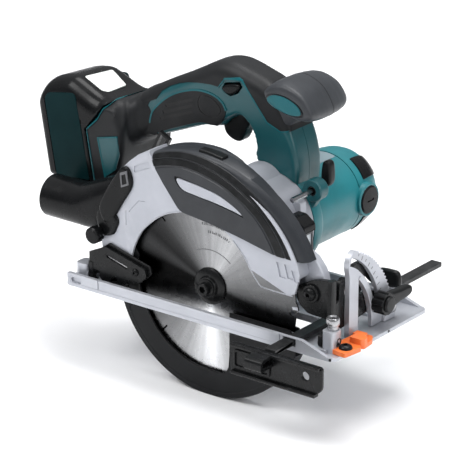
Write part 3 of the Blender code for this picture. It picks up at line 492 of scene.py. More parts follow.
def joined(name, parts):
    """Several objects as one mesh."""
    bm = bmesh.new()
    for part in parts:
        bm.from_mesh(part.data)
        bpy.data.objects.remove(part, do_unlink=True)
    mesh = bpy.data.meshes.new(name)
    bm.to_mesh(mesh)
    bm.free()
    return placed(name, mesh)


def melted(ob, voxel=1.3, passes=6):
    """A remeshed and relaxed copy of the shape, so its edges run into each other like a moulding."""
    mod = ob.modifiers.new("remesh", "REMESH")
    mod.mode = "VOXEL"
    mod.voxel_size = voxel * U * (1.0 if FINE else 1.6)
    mod.use_smooth_shade = True
    mod = ob.modifiers.new("relax", "SMOOTH")
    mod.factor = 0.5
    mod.iterations = passes
    return settle(ob)


def swollen(ob, name, by):
    """A copy whose surface stands a little further out."""
    copy = placed(name, ob.data.copy())
    mesh = copy.data
    normals = [v.normal.copy() for v in mesh.vertices]
    for v, n in zip(mesh.vertices, normals):
        v.co += n * by * U
    return copy


def pillow(name, outline, axis, lo, hi, radius):
    """A plate with round edges: the outline is inset towards both faces by the curve's own offset."""
    curve = bpy.data.curves.new(name, "CURVE")
    curve.dimensions = "2D"
    curve.fill_mode = "BOTH"
    spline = curve.splines.new("POLY")
    spline.points.add(len(outline) - 1)
    for spot, (a, b) in zip(spline.points, outline):
        spot.co = (a * U, b * U, 0.0, 1.0)
    spline.use_cyclic_u = True
    curve.bevel_depth = radius * U
    curve.bevel_resolution = 5
    curve.extrude = max(0.0, (hi - lo) / 2 - radius) * U
    curve.offset = -radius * U
    holder = placed(name, curve)
    bpy.context.view_layer.update()
    graph = bpy.context.evaluated_depsgraph_get()
    mesh = bpy.data.meshes.new_from_object(holder.evaluated_get(graph))
    bpy.data.objects.remove(holder, do_unlink=True)
    middle = (lo + hi) / 2 * U
    turn = {"z": Matrix.Identity(4), "y": Matrix(((1, 0, 0, 0), (0, 0, -1, 0), (0, 1, 0, 0), (0, 0, 0, 1))),
            "x": Matrix(((0, 0, 1, 0), (1, 0, 0, 0), (0, 1, 0, 0), (0, 0, 0, 1)))}[axis]
    mesh.transform(turn)
    mesh.transform(Matrix.Translation(point(axis, 0, 0, middle)))
    tidy_mesh(mesh)
    mesh.name = name
    return placed(name, mesh)


MOULD_STEPS = 7                 # rings in each rounded end of a moulding


def moulded(name, outline, lo, hi, radius_at):
    """A side outline (x, z) given depth from y lo to hi; radius_at(point) rounds its ends."""
    count = len(outline)
    inward = []
    area = sum(outline[i - 1][0] * outline[i][1] - outline[i][0] * outline[i - 1][1] for i in range(count))
    sign = 1.0 if area > 0 else -1.0
    for i in range(count):
        ahead, behind = Vector(outline[(i + 1) % count]), Vector(outline[i - 1])
        d = (ahead - behind).normalized()
        inward.append(Vector((-d.y, d.x)) * sign)
    largest = max(radius_at(p) for p in outline)
    depths = [largest * (1 - math.cos(math.pi / 2 * k / MOULD_STEPS)) for k in range(MOULD_STEPS + 1)]
    rings = []
    for y, t in [(lo + t, t) for t in depths] + [(hi - t, t) for t in reversed(depths)]:
        ring = []
        for p, n in zip(outline, inward):
            r = radius_at(p)
            inset = r - math.sqrt(max(0.0, r * r - (r - t) ** 2)) if t < r else 0.0
            ring.append((p[0] + n.x * inset, y, p[1] + n.y * inset))
        rings.append(ring)
    return loft(name, rings)


def stripe(points, width):
    """The outline of a narrow band along a line of points."""
    left, right = [], []
    for i, p in enumerate(points):
        ahead = Vector(points[min(i + 1, len(points) - 1)])
        behind = Vector(points[max(i - 1, 0)])
        d = (ahead - behind).normalized()
        n = Vector((-d.y, d.x)) * width / 2
        left.append(tuple(Vector(p) + n))
        right.append(tuple(Vector(p) - n))
    return left + right[::-1]


def eased(value, a, b):
    """0 below a, 1 above b, and a smooth step between."""
    t = min(1.0, max(0.0, (value - a) / (b - a)))
    return t * t * (3 - 2 * t)


def soften(ob, width, segments, sharp=SHARP_EDGE):
    """A bevel along the sharp edges."""
    mod = ob.modifiers.new("edge", "BEVEL")
    mod.width = width * U
    mod.segments = segments
    mod.limit_method = "ANGLE"
    mod.angle_limit = math.radians(sharp)
    mod.harden_normals = True


def put(ob, mat, body, bevel=0.0, sharp=SHARP_EDGE, steps=2, stands_for=()):
    """Shading, finish and place of a finished piece."""
    mesh = ob.data
    mesh.materials.clear()
    mesh.materials.append(mat)
    bm = bmesh.new()
    bm.from_mesh(mesh)
    limit = math.radians(sharp)
    for face in bm.faces:
        face.smooth = True
    for edge in bm.edges:
        edge.smooth = not (len(edge.link_faces) == 2 and edge.calc_face_angle(0.0) > limit)
    bm.to_mesh(mesh)
    bm.free()
    if bevel:
        soften(ob, bevel, steps, sharp)
    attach(ob, body)
    if stands_for:
        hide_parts(*stands_for)
    return ob


def turned(p, centre, degrees):
    """A point turned about a centre."""
    t = math.radians(degrees)
    dx, dz = p[0] - centre[0], p[1] - centre[1]
    return (centre[0] + dx * math.cos(t) - dz * math.sin(t), centre[1] + dx * math.sin(t) + dz * math.cos(t))


def screw(name, centre, axis, face, out, radius, body, mat=None, drive=6):
    """A pan-head screw with a star drive; out is +1 or -1 along the axis."""
    dome = [(0.0, 0.62), (0.45, 0.60), (0.75, 0.50), (0.94, 0.30), (1.0, 0.0)]
    profile = [(r * radius, face + out * h * radius) for r, h in dome] + [(0.0, face)]
    head = lathe(name, centre, profile, axis, 32)
    star = []
    for k in range(drive * 2):
        r = radius * (0.46 if k % 2 == 0 else 0.28)
        star += arc(centre, r, 360 * k / (drive * 2), 360 * k / (drive * 2), 1)[:1]
    lo, hi = sorted((face + out * radius * 0.2, face + out * radius * 1.2))
    cut(head, prism("drive", star, axis, lo, hi))
    return put(head, mat or STEEL, body, bevel=0.15)


# --- battery ------------------------------------------------------------------------------------
Y_NEAR, Y_FAR = MID_Y - 37.0, MID_Y + 37.0
BATTERY_SIDE = [(-201.6, 70), (-214.0, 138), (-211.0, 148.4), (-202, 156), (-190, 160.6), (-178, 162.2),
                (-171, 159.6), (-151, 150), (-137.6, 146.5), (-142, 142), (-148.4, 133), (-160, 121.6),
                (-158.6, 113), (-151.4, 74), (-152, 70)]
SEAM = [(-134.6, 150), (-140.9, 142), (-147.3, 132), (-158.9, 121.2), (-157.6, 113), (-150.2, 73)]


def battery_round(p):
    """Sharp along the seam with the mount, full on the crown."""
    if p[0] > -163 and p[1] < 147:
        return 1.2
    return 5.0 + 11.0 * eased(p[1], 128, 152)


def crowned(ob):
    """Lets the top fall away towards the far side."""
    for v in ob.data.vertices:
        y, z = v.co.y / U, v.co.z / U
        if z > 110:
            v.co.z -= U * (z - 110) / 52 * 4.5 * max(0.0, (y - 2) / 45) ** 2
    return ob


def battery():
    """The battery: a moulded body with a blank label panel on each side."""
    side = rounded(BATTERY_SIDE, [4, 8, 6, 6, 6, 6, 6, 6, 1, 1, 1, 1, 1, 1, 2], 5)
    body = melted(crowned(moulded("battery_shell", side, Y_NEAR, Y_FAR, battery_round)), 1.0, 2)
    panel = rounded([(-205, 140.5), (-201.5, 145.6), (-181, 149.6), (-171.5, 150.6), (-168.8, 146),
                     (-154.6, 74), (-192.6, 71.6)], [3, 3, 3, 3, 4, 2, 2], 4)
    cut(body, prism("recess", panel, "y", Y_NEAR - 3, Y_NEAR + 1.0))
    cut(body, prism("line", stripe([(-164.6, 128), (-157.4, 84)], 1.0), "y", Y_NEAR - 3, Y_NEAR + 0.6))
    put(body, GLOSS, "battery", stands_for=("battery_case",))
    inner = [(x * 0.975 - 180.0 * 0.025, z * 0.982 + 110.0 * 0.018) for x, z in panel]
    for name, lo, hi in (("battery_label_panel", Y_NEAR + 0.2, Y_NEAR + 1.4),
                         ("battery_label_panel_far", Y_FAR - 1.4, Y_FAR + 0.2)):
        put(prism(name, inner, "y", lo, hi), LABEL, "battery", 0.4)


def battery_plate():
    """The release key: a blank plate on the battery's sloping top."""
    slope = math.radians(26.0)
    along = Vector((math.cos(slope), 0, -math.sin(slope)))
    across = Vector((0, 1, 0))
    up = Vector((math.sin(slope), 0, math.cos(slope)))
    outline = rounded([(-12.6, -14.6), (12.6, -14.6), (12.6, 14.6), (-8.5, 18.8)], 2.2, 4)
    centre = Vector((-162.2, 17.0, 154.7))
    n = len(outline)
    verts = [tuple(centre + along * a + across * b + up * level) for level in (-2.0, 0.6) for a, b in outline]
    faces = [tuple(range(n))[::-1], tuple(range(n, 2 * n))]
    faces += [(i, (i + 1) % n, n + (i + 1) % n, n + i) for i in range(n)]
    put(make("battery_blank_plate", verts, faces), WHITE, "battery_release", 0.35,
        stands_for=("battery_release",))


def mount_round(p):
    """Sharp along the seam with the battery, full on the crown."""
    if p[0] < -138 and p[1] < 144:
        return 1.0
    return 5.0 + 9.0 * eased(p[1], 124, 146)


def oval_ring(x, z, half_y, half_z, lean, power, n=56, y=-38.0):
    """A squared oval across x; lean shifts x with height."""
    out = []
    for i in range(n):
        t = 2 * math.pi * i / n
        c, s = math.cos(t), math.sin(t)
        a = math.copysign(abs(c) ** power, c) * half_y
        b = math.copysign(abs(s) ** power, s) * half_z
        out.append((x + lean * b, y + a, z + b))
    return out


def battery_mount():
    """The moulding between battery and grip, with its trim line and badge panel."""
    block = [(-149.6, 70), (-157.2, 113), (-158.4, 121), (-146.6, 131.8), (-140.2, 141.8), (-134, 149.6),
             (-127, 148.5), (-121.6, 143), (-119.8, 130), (-120.6, 105), (-124.6, 88), (-130, 76)]
    block = moulded("mount_block", rounded(block, [1, 1, 1, 2, 2, 2, 3, 5, 8, 8, 6, 3], 4), Y_NEAR + 0.5,
                    Y_FAR - 0.5, mount_round)
    neck = [(-88, 148.5, 16.5, 18.5, -0.35), (-98, 144, 17.5, 19.5, -0.35), (-106, 139.5, 19.5, 20.5, -0.3),
            (-114, 134.6, 22, 20, -0.25), (-121, 130, 27, 21, -0.2), (-131, 126, 32, 21, -0.1)]
    neck = loft("mount_neck", [oval_ring(*station, 0.72, 48, MID_Y) for station in neck])
    body = melted(joined("battery_mount_shell", [crowned(block), neck]), 1.1, 5)
    put(body, SOFT, "saw_body", stands_for=("battery_mount",))
    trim = swollen(body, "mount_trim", 0.8)
    within(trim, prism("band", stripe(SEAM, 3.2), "y", Y_NEAR - 8, Y_FAR + 8))
    put(trim, TEAL_TRIM, "saw_body")
    shape = rounded([(-144.8, 115.6), (-124, 120.2), (-122.6, 104), (-126.4, 90.5), (-137.2, 82)], 1.5, 3)
    badge = swollen(body, "mount_badge", 0.9)
    within(badge, prism("badge_cut", shape, "y", Y_NEAR - 8, Y_NEAR + 5))
    put(badge, TEAL, "saw_body", 0.3)
    rim = swollen(body, "mount_badge_edge", 1.2)
    within(rim, prism("edge_cut", stripe([(-124, 120.4), (-145, 115.8), (-137.4, 81.6)], 1.3), "y",
                      Y_NEAR - 8, Y_NEAR + 5))
    put(rim, TEAL_TRIM, "saw_body", 0.2)


# --- handle -------------------------------------------------------------------------------------
GRIP = [(-118, 152), (-110, 159), (-97, 167), (-73, 179), (-53, 189.6), (-42, 195.6), (-31.6, 199.3),
        (-21, 200.3), (-10.5, 198.6), (2, 195), (17, 190), (31, 181), (38.5, 170), (41.5, 157), (46.5, 143.5),
        (49.4, 131), (50, 119), (49.6, 109), (48.6, 101), (44, 95)]
GRIP_LOW = [(34, 100), (20, 113), (10, 121), (7, 128), (7.4, 137), (4, 147), (-2, 153.5), (-10, 157),
            (-22, 151), (-28, 144.6), (-34, 142.8), (-48, 140.6), (-63, 134.8), (-83, 126.8), (-103, 119.2),
            (-112, 117), (-117, 132)]


def grip_round(p):
    """Full rounding on the grip, tighter corners down the front of the post."""
    if p[0] > 34:
        return 4.4 + 6.6 * eased(p[1], 150, 174)
    return 8.0 + 3.0 * eased(p[1], 140, 170)


def handle():
    """The two halves of the handle with their rubber skin, ribbed pads and trim lines."""
    outline = curved(GRIP + GRIP_LOW, 4)
    shell = moulded("handle_shell", outline, MID_Y - 18.3, MID_Y + 18.3, grip_round)
    melted(shell, 1.1, 4)
    cut(shell, box("trigger_room", (-40, MID_Y - 9.6, 126), (-3, MID_Y + 9.6, 168)))
    window = rounded([(-27, 178.5), (-23.5, 184.5), (-8, 188), (-5, 184), (-9.5, 177.5), (-18, 173.5),
                      (-24.5, 176)], 1.2, 3)
    cut(shell, prism("key_way", window, "y", MID_Y - 30, MID_Y - 7))
    room = [(0, -10), (43.8, -10), (43.8, 17), (42.3, 20), (37.9, 25), (37.2, 30), (37.2, 60), (0, 60)]
    cut(shell, lathe("motor_room", MOTOR, room, "y", 96))
    rubber_top = curved([(-135, 150), (-120, 175), (-60, 215), (-16, 225), (60, 215), (72, 180), (64, 158)],
                        3, False)
    rubber_low = [(41, 154.5), (34, 153), (20, 158), (-6, 189.8), (-9, 191.3), (-23, 188), (-25.5, 186),
                  (-30, 179.5), (-38, 180), (-51, 179), (-62, 177), (-72, 174), (-82, 169.5), (-90, 164),
                  (-96, 155.6), (-103, 152), (-106, 146), (-106, 136), (-101, 127), (-86, 122), (-80, 100),
                  (-135, 100)]
    skin = swollen(shell, "grip_overmould", 0.55)
    within(skin, prism("skin_cut", rubber_top + rubber_low, "y", MID_Y - 30, MID_Y + 30))
    put(skin, SOFT, "saw_body")
    line = swollen(shell, "handle_trim_line", 0.8)
    edge = [(41, 154.3), (34, 152.8), (20, 157.8), (-6.2, 189.4), (-23, 187.2), (-29.6, 179.0), (-31, 178),
            (-26, 185), (-24.6, 186.4), (-23.8, 188.6), (-8.6, 191.8), (-5.2, 190.4), (20.8, 159.2),
            (34.4, 154), (41.4, 155.6)]
    within(line, prism("line_cut", edge, "y", MID_Y - 30, MID_Y - 8))
    put(line, TEAL_TRIM, "saw_body")
    pad_outline = [(-105, 131), (-101, 141), (-97, 147.5), (-84, 159.5), (-69, 167.5), (-52, 172.3),
                   (-36, 171.5), (-25.5, 165.5), (-22.5, 159), (-25, 152), (-31, 145), (-34, 144.4),
                   (-49, 144.6), (-76, 134.4), (-101, 123.8)]
    pad_outline = curved(pad_outline, 4)
    # Painted shade: a near-black layer under each ribbed pad, which shows in its grooves and oval.
    for name, span in (("pad_groove_shade", (MID_Y - 30, MID_Y - 8)), ("pad_groove_shade_far", (MID_Y + 8, MID_Y + 30))):
        seat = swollen(shell, name, 0.25)
        within(seat, prism("seat_cut", pad_outline, "y", *span))
        put(seat, SHADE_AND_SEAM_BLACK, "saw_body")
    for name, far in (("grip_pad_ribbed", False), ("grip_pad_ribbed_far", True)):
        pad = swollen(shell, name, 0.6)
        span = (MID_Y + 8, MID_Y + 30) if far else (MID_Y - 30, MID_Y - 8)
        within(pad, prism("pad_cut", pad_outline, "y", *span))
        side = MID_Y + 19.2 if far else MID_Y - 19.2
        for k in range(3):
            shift = k * 6.2
            groove = rounded([(-92 + shift * 0.5, 140.6 + shift), (-58, 153 + shift * 0.9),
                              (-56, 151 + shift * 0.9), (-91 + shift * 0.5, 138 + shift)], 1.0, 2)
            cut(pad, prism("groove", groove, "y", side - 1.2, side + 1.2))
        oval = curved([(-51, 164), (-46, 170), (-36, 169), (-27, 162), (-27, 156), (-33, 151.5), (-43, 152),
                       (-50, 156)], 4)
        oval_in = [((x + 39) * 0.88 - 39, (z - 160.5) * 0.86 + 160.5) for x, z in oval]
        cut(pad, prism("oval", oval, "y", side - 0.7, side + 0.7, [oval_in]))
        put(pad, SOFT, "saw_body", stands_for=("grip_pad_far" if far else "grip_pad_near",))
    frame_line = swollen(shell, "pad_frame_line", 0.75)
    rise = curved([(-103, 133), (-101, 141), (-97, 147.5), (-84, 159.5), (-69, 167.5), (-52, 172.3),
                   (-36, 171.5), (-26, 166.5), (-22, 160)], 4, False)
    within(frame_line, prism("frame_cut", stripe(rise, 1.6), "y", MID_Y - 30, MID_Y - 8))
    put(frame_line, TEAL_TRIM, "saw_body")
    near = swollen(shell, "handle_half_near", 0.0)
    within(near, box("half", (-140, MID_Y - 40, 80), (90, MID_Y - 0.25, 220)))
    put(near, TEAL, "saw_body", stands_for=("handle_near",))
    within(shell, box("half", (-140, MID_Y + 0.25, 80), (90, MID_Y + 40, 220)))
    put(shell, TEAL, "saw_body", stands_for=("handle_far",))


def trigger():
    """The trigger, thick enough to fill the opening below the grip."""
    side = curved([(-9, 164), (-28, 161), (-33.6, 149.5), (-31.4, 137.5), (-24.5, 132), (-16.4, 131.2),
                   (-12.4, 136), (-9.5, 143), (-6.6, 150)], 4)
    body = melted(pillow("trigger_blade", side, "y", MID_Y - 8.8, MID_Y + 6.0, 2.8), 0.9, 3)
    put(body, BLACK, "trigger", stands_for=("trigger",))


def lock_off():
    """The lock-off lever in the window above the trigger."""
    y = MID_Y - 18
    lever = pillow("lock_off_lever", curved([(-25.5, 178.5), (-22, 183), (-10, 185.6), (-7.5, 183),
                                             (-11, 178), (-18, 175)], 4), "y", y - 2.4, y + 3.0, 1.8)
    put(melted(lever, 0.7, 3), GLOSS, "lock_off", stands_for=("lock_off_button",))


KNOB_SIDE = [(32.1, 193.6), (40.2, 199.7), (52.4, 202.2), (68.7, 196.8), (78.9, 185.4), (78.6, 179.1),
             (68.9, 175.8), (52.6, 178), (38.3, 183.7), (32.7, 189.3)]
KNOB_INSET = [(36.2, 188.0), (42.3, 192.8), (54.6, 192.9), (66.4, 188.2), (70.2, 181.6), (60.8, 179.3),
              (48.5, 181.1), (39.3, 183.9)]
# Depth of each section of the front grip, its share of the side outline along x and along z.
KNOB_DEPTHS = ((-19.0, 0.66, 0.62), (-18.7, 0.83, 0.80), (-17.7, 0.95, 0.94), (-15.6, 1.01, 1.04),
               (-10, 1.04, 1.16), (0, 1.05, 1.24), (12, 1.05, 1.26), (24, 1.03, 1.25), (36, 1.01, 1.20),
               (46, 0.97, 1.12), (53, 0.90, 1.00), (58, 0.79, 0.84), (61, 0.60, 0.62), (62.6, 0.30, 0.32))


def scaled(outline, share, centre):
    """An outline drawn in towards a centre."""
    return [((x - centre[0]) * share + centre[0], (z - centre[1]) * share + centre[1]) for x, z in outline]


def knob():
    """The front grip: a rounded oval bar across the saw with an inset in its flat near end."""
    centre = (55.5, 189.0)
    side = curved(KNOB_SIDE, 6)
    rings = []
    for y, wide, tall in KNOB_DEPTHS:
        back, down = -(y + 17.0) * 0.18, -(y + 17.0) * 0.12
        rings.append([((x - centre[0]) * wide + centre[0] + back, y, (z - centre[1]) * tall + centre[1]
                       + down) for x, z in side])
    bar = loft("front_grip", rings)
    neck = pillow("grip_neck", curved([(24, 158), (37, 157), (42, 160), (49, 169), (52, 178), (36, 184),
                                       (20, 184), (16, 170)], 4), "y", MID_Y - 17.6, MID_Y + 17.6, 5.0)
    bar = melted(joined("front_grip", [bar, neck]), 1.0, 5)
    inset = curved(KNOB_INSET, 5)
    outer, inner = scaled(inset, 1.16, (53.5, 186.4)), scaled(inset, 1.04, (53.5, 186.4))
    cut(bar, prism("ring_groove", outer, "y", MID_Y - 45, MID_Y - 39.6, [inner]))
    seam = lathe("seam", (48.4, 184.0), [(5, MID_Y), (45, MID_Y), (45, MID_Y + 0.7), (5, MID_Y + 0.7)], "y",
                 40)
    put(within(swollen(bar, "front_grip_seam", 0.15), seam), SHADE_AND_SEAM_BLACK, "saw_body")
    put(bar, KNOB_GREY, "saw_body", stands_for=("front_knob",))
    cap = swollen(bar, "front_grip_inset", 0.6)
    within(cap, prism("inset_cut", inset, "y", MID_Y - 50, MID_Y - 20))
    put(cap, TEAL_TRIM, "saw_body")


# --- motor --------------------------------------------------------------------------------------
def motor():
    """The motor housing, its end cover with two brush caps, a blank plate and dark pads."""
    n = 96 if FINE else 64
    can = lathe("motor_shell", MOTOR, [(15, 6.5), (43.5, 6.5), (43.8, 9), (43.5, 17), (42, 20), (37.6, 25),
                                       (36.9, 30), (36.9, 81.9), (33, 81.9), (33, 30), (34, 17), (15, 13.5)],
                "y", n)
    for k in range(5):
        t = math.radians(-40 + 20 * k)
        cx, cz = MOTOR[0] - 40 * math.cos(t), MOTOR[1] + 40 * math.sin(t)
        cut(can, box("vent", (cx - 9, 20, cz - 1.6), (cx + 9, 27, cz + 1.6)))
    put(can, TEAL_MOTOR, "saw_body", 0.4, stands_for=("motor_housing",))
    cover = lathe("motor_end_shell", MOTOR, [(0, 120), (14, 119.8), (21, 119.2), (25.6, 117.8), (30, 114.4),
                                             (33.2, 109.6), (35.6, 103.6), (36.9, 96), (37.1, 88),
                                             (37.1, 82.6), (33.4, 82.6), (33, 99), (27, 112), (12.6, 114.6),
                                             (12.6, 96), (8.4, 96), (8.4, 115), (0, 115)], "y", n)
    for side in (-1, 1):
        collar = lathe("collar", (91, MOTOR[1]), [(0, MOTOR[0] + side * 26), (15.4, MOTOR[0] + side * 26),
                                                  (14.5, MOTOR[0] + side * 38.6),
                                                  (13.8, MOTOR[0] + side * 39.3),
                                                  (0, MOTOR[0] + side * 39.3)], "x", 48)
        fuse(cover, collar)
        lo, hi = sorted((MOTOR[0] + side * 35, MOTOR[0] + side * 44))
        cut(cover, prism("brush_way", circle((91, MOTOR[1]), 12.5, 48), "x", lo, hi))
    for k in range(4):
        cut(cover, box("vent", (MOTOR[0] - 18 + 9 * k, 99, MOTOR[1] - 52), (MOTOR[0] - 14 + 9 * k, 105,
                                                                            MOTOR[1] - 22)))
    put(cover, TEAL_MOTOR, "saw_body", 0.4, stands_for=("end_cover",))
    for name, side in (("brush_cap_front", 1), ("brush_cap_rear", -1)):
        x = MOTOR[0]
        cap = lathe(name + "_shell", (91, MOTOR[1]), [(0, x + side * 35.2), (12.2, x + side * 35.2),
                                                      (12.2, x + side * 39.4), (11.2, x + side * 40.6),
                                                      (0, x + side * 41.0)], "x", 48)
        lo, hi = sorted((x + side * 40.0, x + side * 43))
        cut(cap, box("slot", (lo, 91 - 4.6, MOTOR[1] - 0.9), (hi, 91 + 4.6, MOTOR[1] + 0.9)))
        put(cap, GLOSS, "saw_body", 0.25, stands_for=(name,))
    plate = lathe("motor_blank_plate", MOTOR, [(36.6, 48), (37.3, 48), (37.3, 80.6), (36.6, 80.6)], "y", 24,
                  73, 104)
    put(plate, PLATE_GREY, "saw_body", 0.15)
    for a0, a1, name in ((27, 60, "motor_pad_upper"), (-56, -27, "motor_pad_lower")):
        pad = lathe(name, MOTOR, [(36.6, 90), (38.0, 90.8), (37.6, 97), (36.5, 104), (34.2, 110),
                                  (31.2, 114.6), (26.8, 118.2), (25.6, 117.2), (30.0, 113.4), (33.0, 109),
                                  (35.2, 103), (36.4, 96)], "y", 24, a0, a1)
        put(pad, GLOSS, "saw_body", 0.3)


def hull(r_low, r_high):
    """Two circles, on the blade axis and on the motor axis, joined by their outer tangents."""
    reach = math.dist(SPINDLE, MOTOR)
    off = math.degrees(math.acos((r_low - r_high) / reach))
    lean = math.degrees(math.atan2(MOTOR[1] - SPINDLE[1], MOTOR[0] - SPINDLE[0]))
    low = arc(SPINDLE, r_low, lean + off, lean + 360 - off, 40)
    return low + arc(MOTOR, r_high, lean - off, lean + off, 60)


def gear_case_look():
    """The cast case behind the blade, and the clip for the hex key on its lug from the motor."""
    case = prism("gear_case_shell", hull(21.2, 43), "y", -30.2, 6, [circle(SPINDLE, 13.3, 40)])
    bell = arc((17.5, 101.8), 22.6, -20, 165, 40) + [(0, 75), (38, 75)]
    fuse(case, prism("bell", bell, "y", -29.6, 3.4))
    cut(case, prism("inside", hull(18.8, 39.5), "y", -24.5, 10))
    ear = rounded([(46, 94), (54.4, 100.8), (60, 103.4), (66.4, 103.4), (66.8, 91), (58, 84)],
                  [1, 2, 2, 2, 2, 1], 3)
    fuse(case, prism("ear", ear, "y", -13, -5))
    cut(case, prism("lock_way", circle((-16.3, SPINDLE[1]), 2.7, 24), "x", -30, -14))
    put(case, SILVER, "saw_body", 1.0, steps=3, stands_for=("gear_case",))
    boss = lathe("gear_case_boss", SPINDLE, [(13.3, -36), (21.5, -36), (22.5, -35), (22.5, -30), (13.3, -30)],
                 "y", 60)
    put(boss, SILVER, "saw_body", 0.3)
    key = (66.0, 109.0)
    lug = rounded([(48, 100), (59, 115), (73, 106), (61, 88)], 2.0, 3)
    lug = prism("key_lug", lug, "y", 6.9, 13.2)
    put(lug, TEAL, "saw_body", 1.4, steps=3)
    collar = lathe("key_collar", key, [(4.2, 3.0), (8.8, 3.0), (9.6, 4.2), (9.6, 13.5), (8.8, 14.6),
                                       (4.2, 14.6)], "y", 40)
    put(collar, TEAL, "saw_body", 0.3)
    # Painted shade: a near-black lining inside the collar's hole.
    core = lathe("key_collar_hole_shade", key, [(3.1, 3.6), (4.6, 3.6), (4.6, 14), (3.1, 14)], "y", 24)
    put(core, SHADE_AND_SEAM_BLACK, "saw_body")
    bung = pillow("key_stop", curved([(61.6, 110), (62, 124), (64, 129), (68.4, 129.4), (70.8, 125),
                                      (71, 112), (67, 107)], 4), "y", 21.5, 30.5, 2.4)
    put(melted(bung, 0.9, 3), BLACK, "hex_wrench")


# --- blade case and hood ------------------------------------------------------------------------
HOOD_ANGLES = (25, 35, 53, 70, 87, 103, 120)
HOOD_KNOTS = ((0.0, (0.0,) * 7), (93.3, (83.0, 85.1, 89.4, 92.2, 96.9, 103.3, 108.2)),
              (99.5, (91.2, 93.4, 96.5, 99.6, 104.8, 110.6, 115.2)),
              (106.2, (102.8, 102.0, 101.8, 105.6, 110.9, 116.2, 119.4)),
              (111.0, (111.0, 111.0, 111.0, 111.0, 113.6, 117.2, 120.9)))


def between(places, values, at):
    """A value read off a table by straight lines."""
    if at <= places[0]:
        return values[0]
    for k in range(1, len(places)):
        if at <= places[k]:
            t = (at - places[k - 1]) / (places[k] - places[k - 1])
            return values[k - 1] + (values[k] - values[k - 1]) * t
    return values[-1]


def opened(ob):
    """Moves a ring about the blade axis outwards to the hood's own curves."""
    for v in ob.data.vertices:
        x, z = v.co.x / U - SPINDLE[0], v.co.z / U - SPINDLE[1]
        r, angle = math.hypot(x, z), math.degrees(math.atan2(z, x))
        knots = [k for k, _ in HOOD_KNOTS]
        rings = [between(HOOD_ANGLES, row, angle) for _, row in HOOD_KNOTS]
        new = between(knots, rings, r) if r <= knots[-1] else rings[-1] + (r - knots[-1])
        v.co.x = (SPINDLE[0] + x * new / r) * U
        v.co.z = (SPINDLE[1] + z * new / r) * U
    return ob


def hood():
    """The dark hood over the top of the blade case, with its light crescent, and black bands of painted shade
    in its groove and on its sloping step.
    """
    n = 128 if FINE else 80
    profile = [(108.6, -26), (110.6, -26), (111, -28), (111, -31), (110.3, -31.6), (110.3, -33), (111, -33.6),
               (111, -47.0), (110.2, -48.6), (108.0, -50.2), (107.0, -50.6), (106.2, -50.6), (105.6, -51.2),
               (100.5, -53.2), (99.5, -53.2), (98.8, -54.0), (95.0, -55.0), (94.2, -54.5), (93.3, -54.5),
               (92.6, -55.2), (40, -55.2), (40, -52.9), (98, -51.6), (103.6, -51.0), (106.6, -50.0),
               (108.2, -46)]
    body = opened(lathe("hood_shell", SPINDLE, profile, "y", n, 18, 122))
    region = [(-57.6, 146), (-57.0, 133.6), (-54, 124), (-43, 109), (-25.5, 88), (6, 84.4), (35, 79.5),
              (70, 72.2), (95, 69.6), (108.5, 72), (125, 60), (125, 150), (-57, 160)]
    region = rounded(region, [0, 0, 6, 2, 5, 2, 2, 2, 1, 1, 0, 0, 0], 4)
    within(body, prism("hood_cut", region, "y", -60, -20))
    slope = [(-10, -20), (2, -26.5), (30, -33), (62, -38.5), (140, -38.5), (140, -20)]
    cut(body, prism("back_slope", slope, "z", 50, 170))
    crescent = curved([(-30.5, 117.6), (-18, 117), (-4, 115.2), (13, 111.8), (29, 105.2), (40.5, 97.4),
                       (30, 99.6), (10, 103), (-9, 105.2), (-24.5, 108.2)], 4)
    cut(body, prism("insert_way", crescent, "y", -58, -54.2))
    put(body, CHARCOAL, "saw_body", 0.25, stands_for=("hood_cover",))
    slim = [((x - 3) * 0.94 + 3.4, (z - 108.5) * 0.84 + 108.6) for x, z in crescent]
    put(prism("hood_insert", slim, "y", -55.6, -54.0), SILVER, "saw_body", 0.2)
    # Painted shade: a near-black sheet behind the insert, showing in the gap round it.
    put(prism("hood_insert_gap_shade", crescent, "y", -54.3, -53.9), SHADE_AND_SEAM_BLACK, "saw_body")
    # Painted shade: black bands laid in the hood's groove and on its sloping step.
    band = lathe("hood_groove_shade_band", SPINDLE, [(94.2, -54.3), (94.8, -55.2), (99.1, -54.2), (99.4, -53.3),
                                             (97, -53)], "y", n, 20, 121)
    within(opened(band), prism("band_cut", region, "y", -60, -20))
    put(band, BLACK, "saw_body")
    rim = lathe("hood_step_shade_band", SPINDLE, [(100.3, -53.2), (100.7, -53.6), (105.8, -51.4), (106.0, -50.7),
                                           (103, -51.2)], "y", n, 20, 121)
    within(opened(rim), prism("rim_cut", region, "y", -60, -20))
    put(rim, BLACK, "saw_body")
    rib = [(110.0, -47), (113.4, -46), (113.4, -38), (110.0, -37)]
    put(opened(lathe("hood_rib", SPINDLE, rib, "y", 20, 84, 96)), BLACK, "saw_body", 0.8)


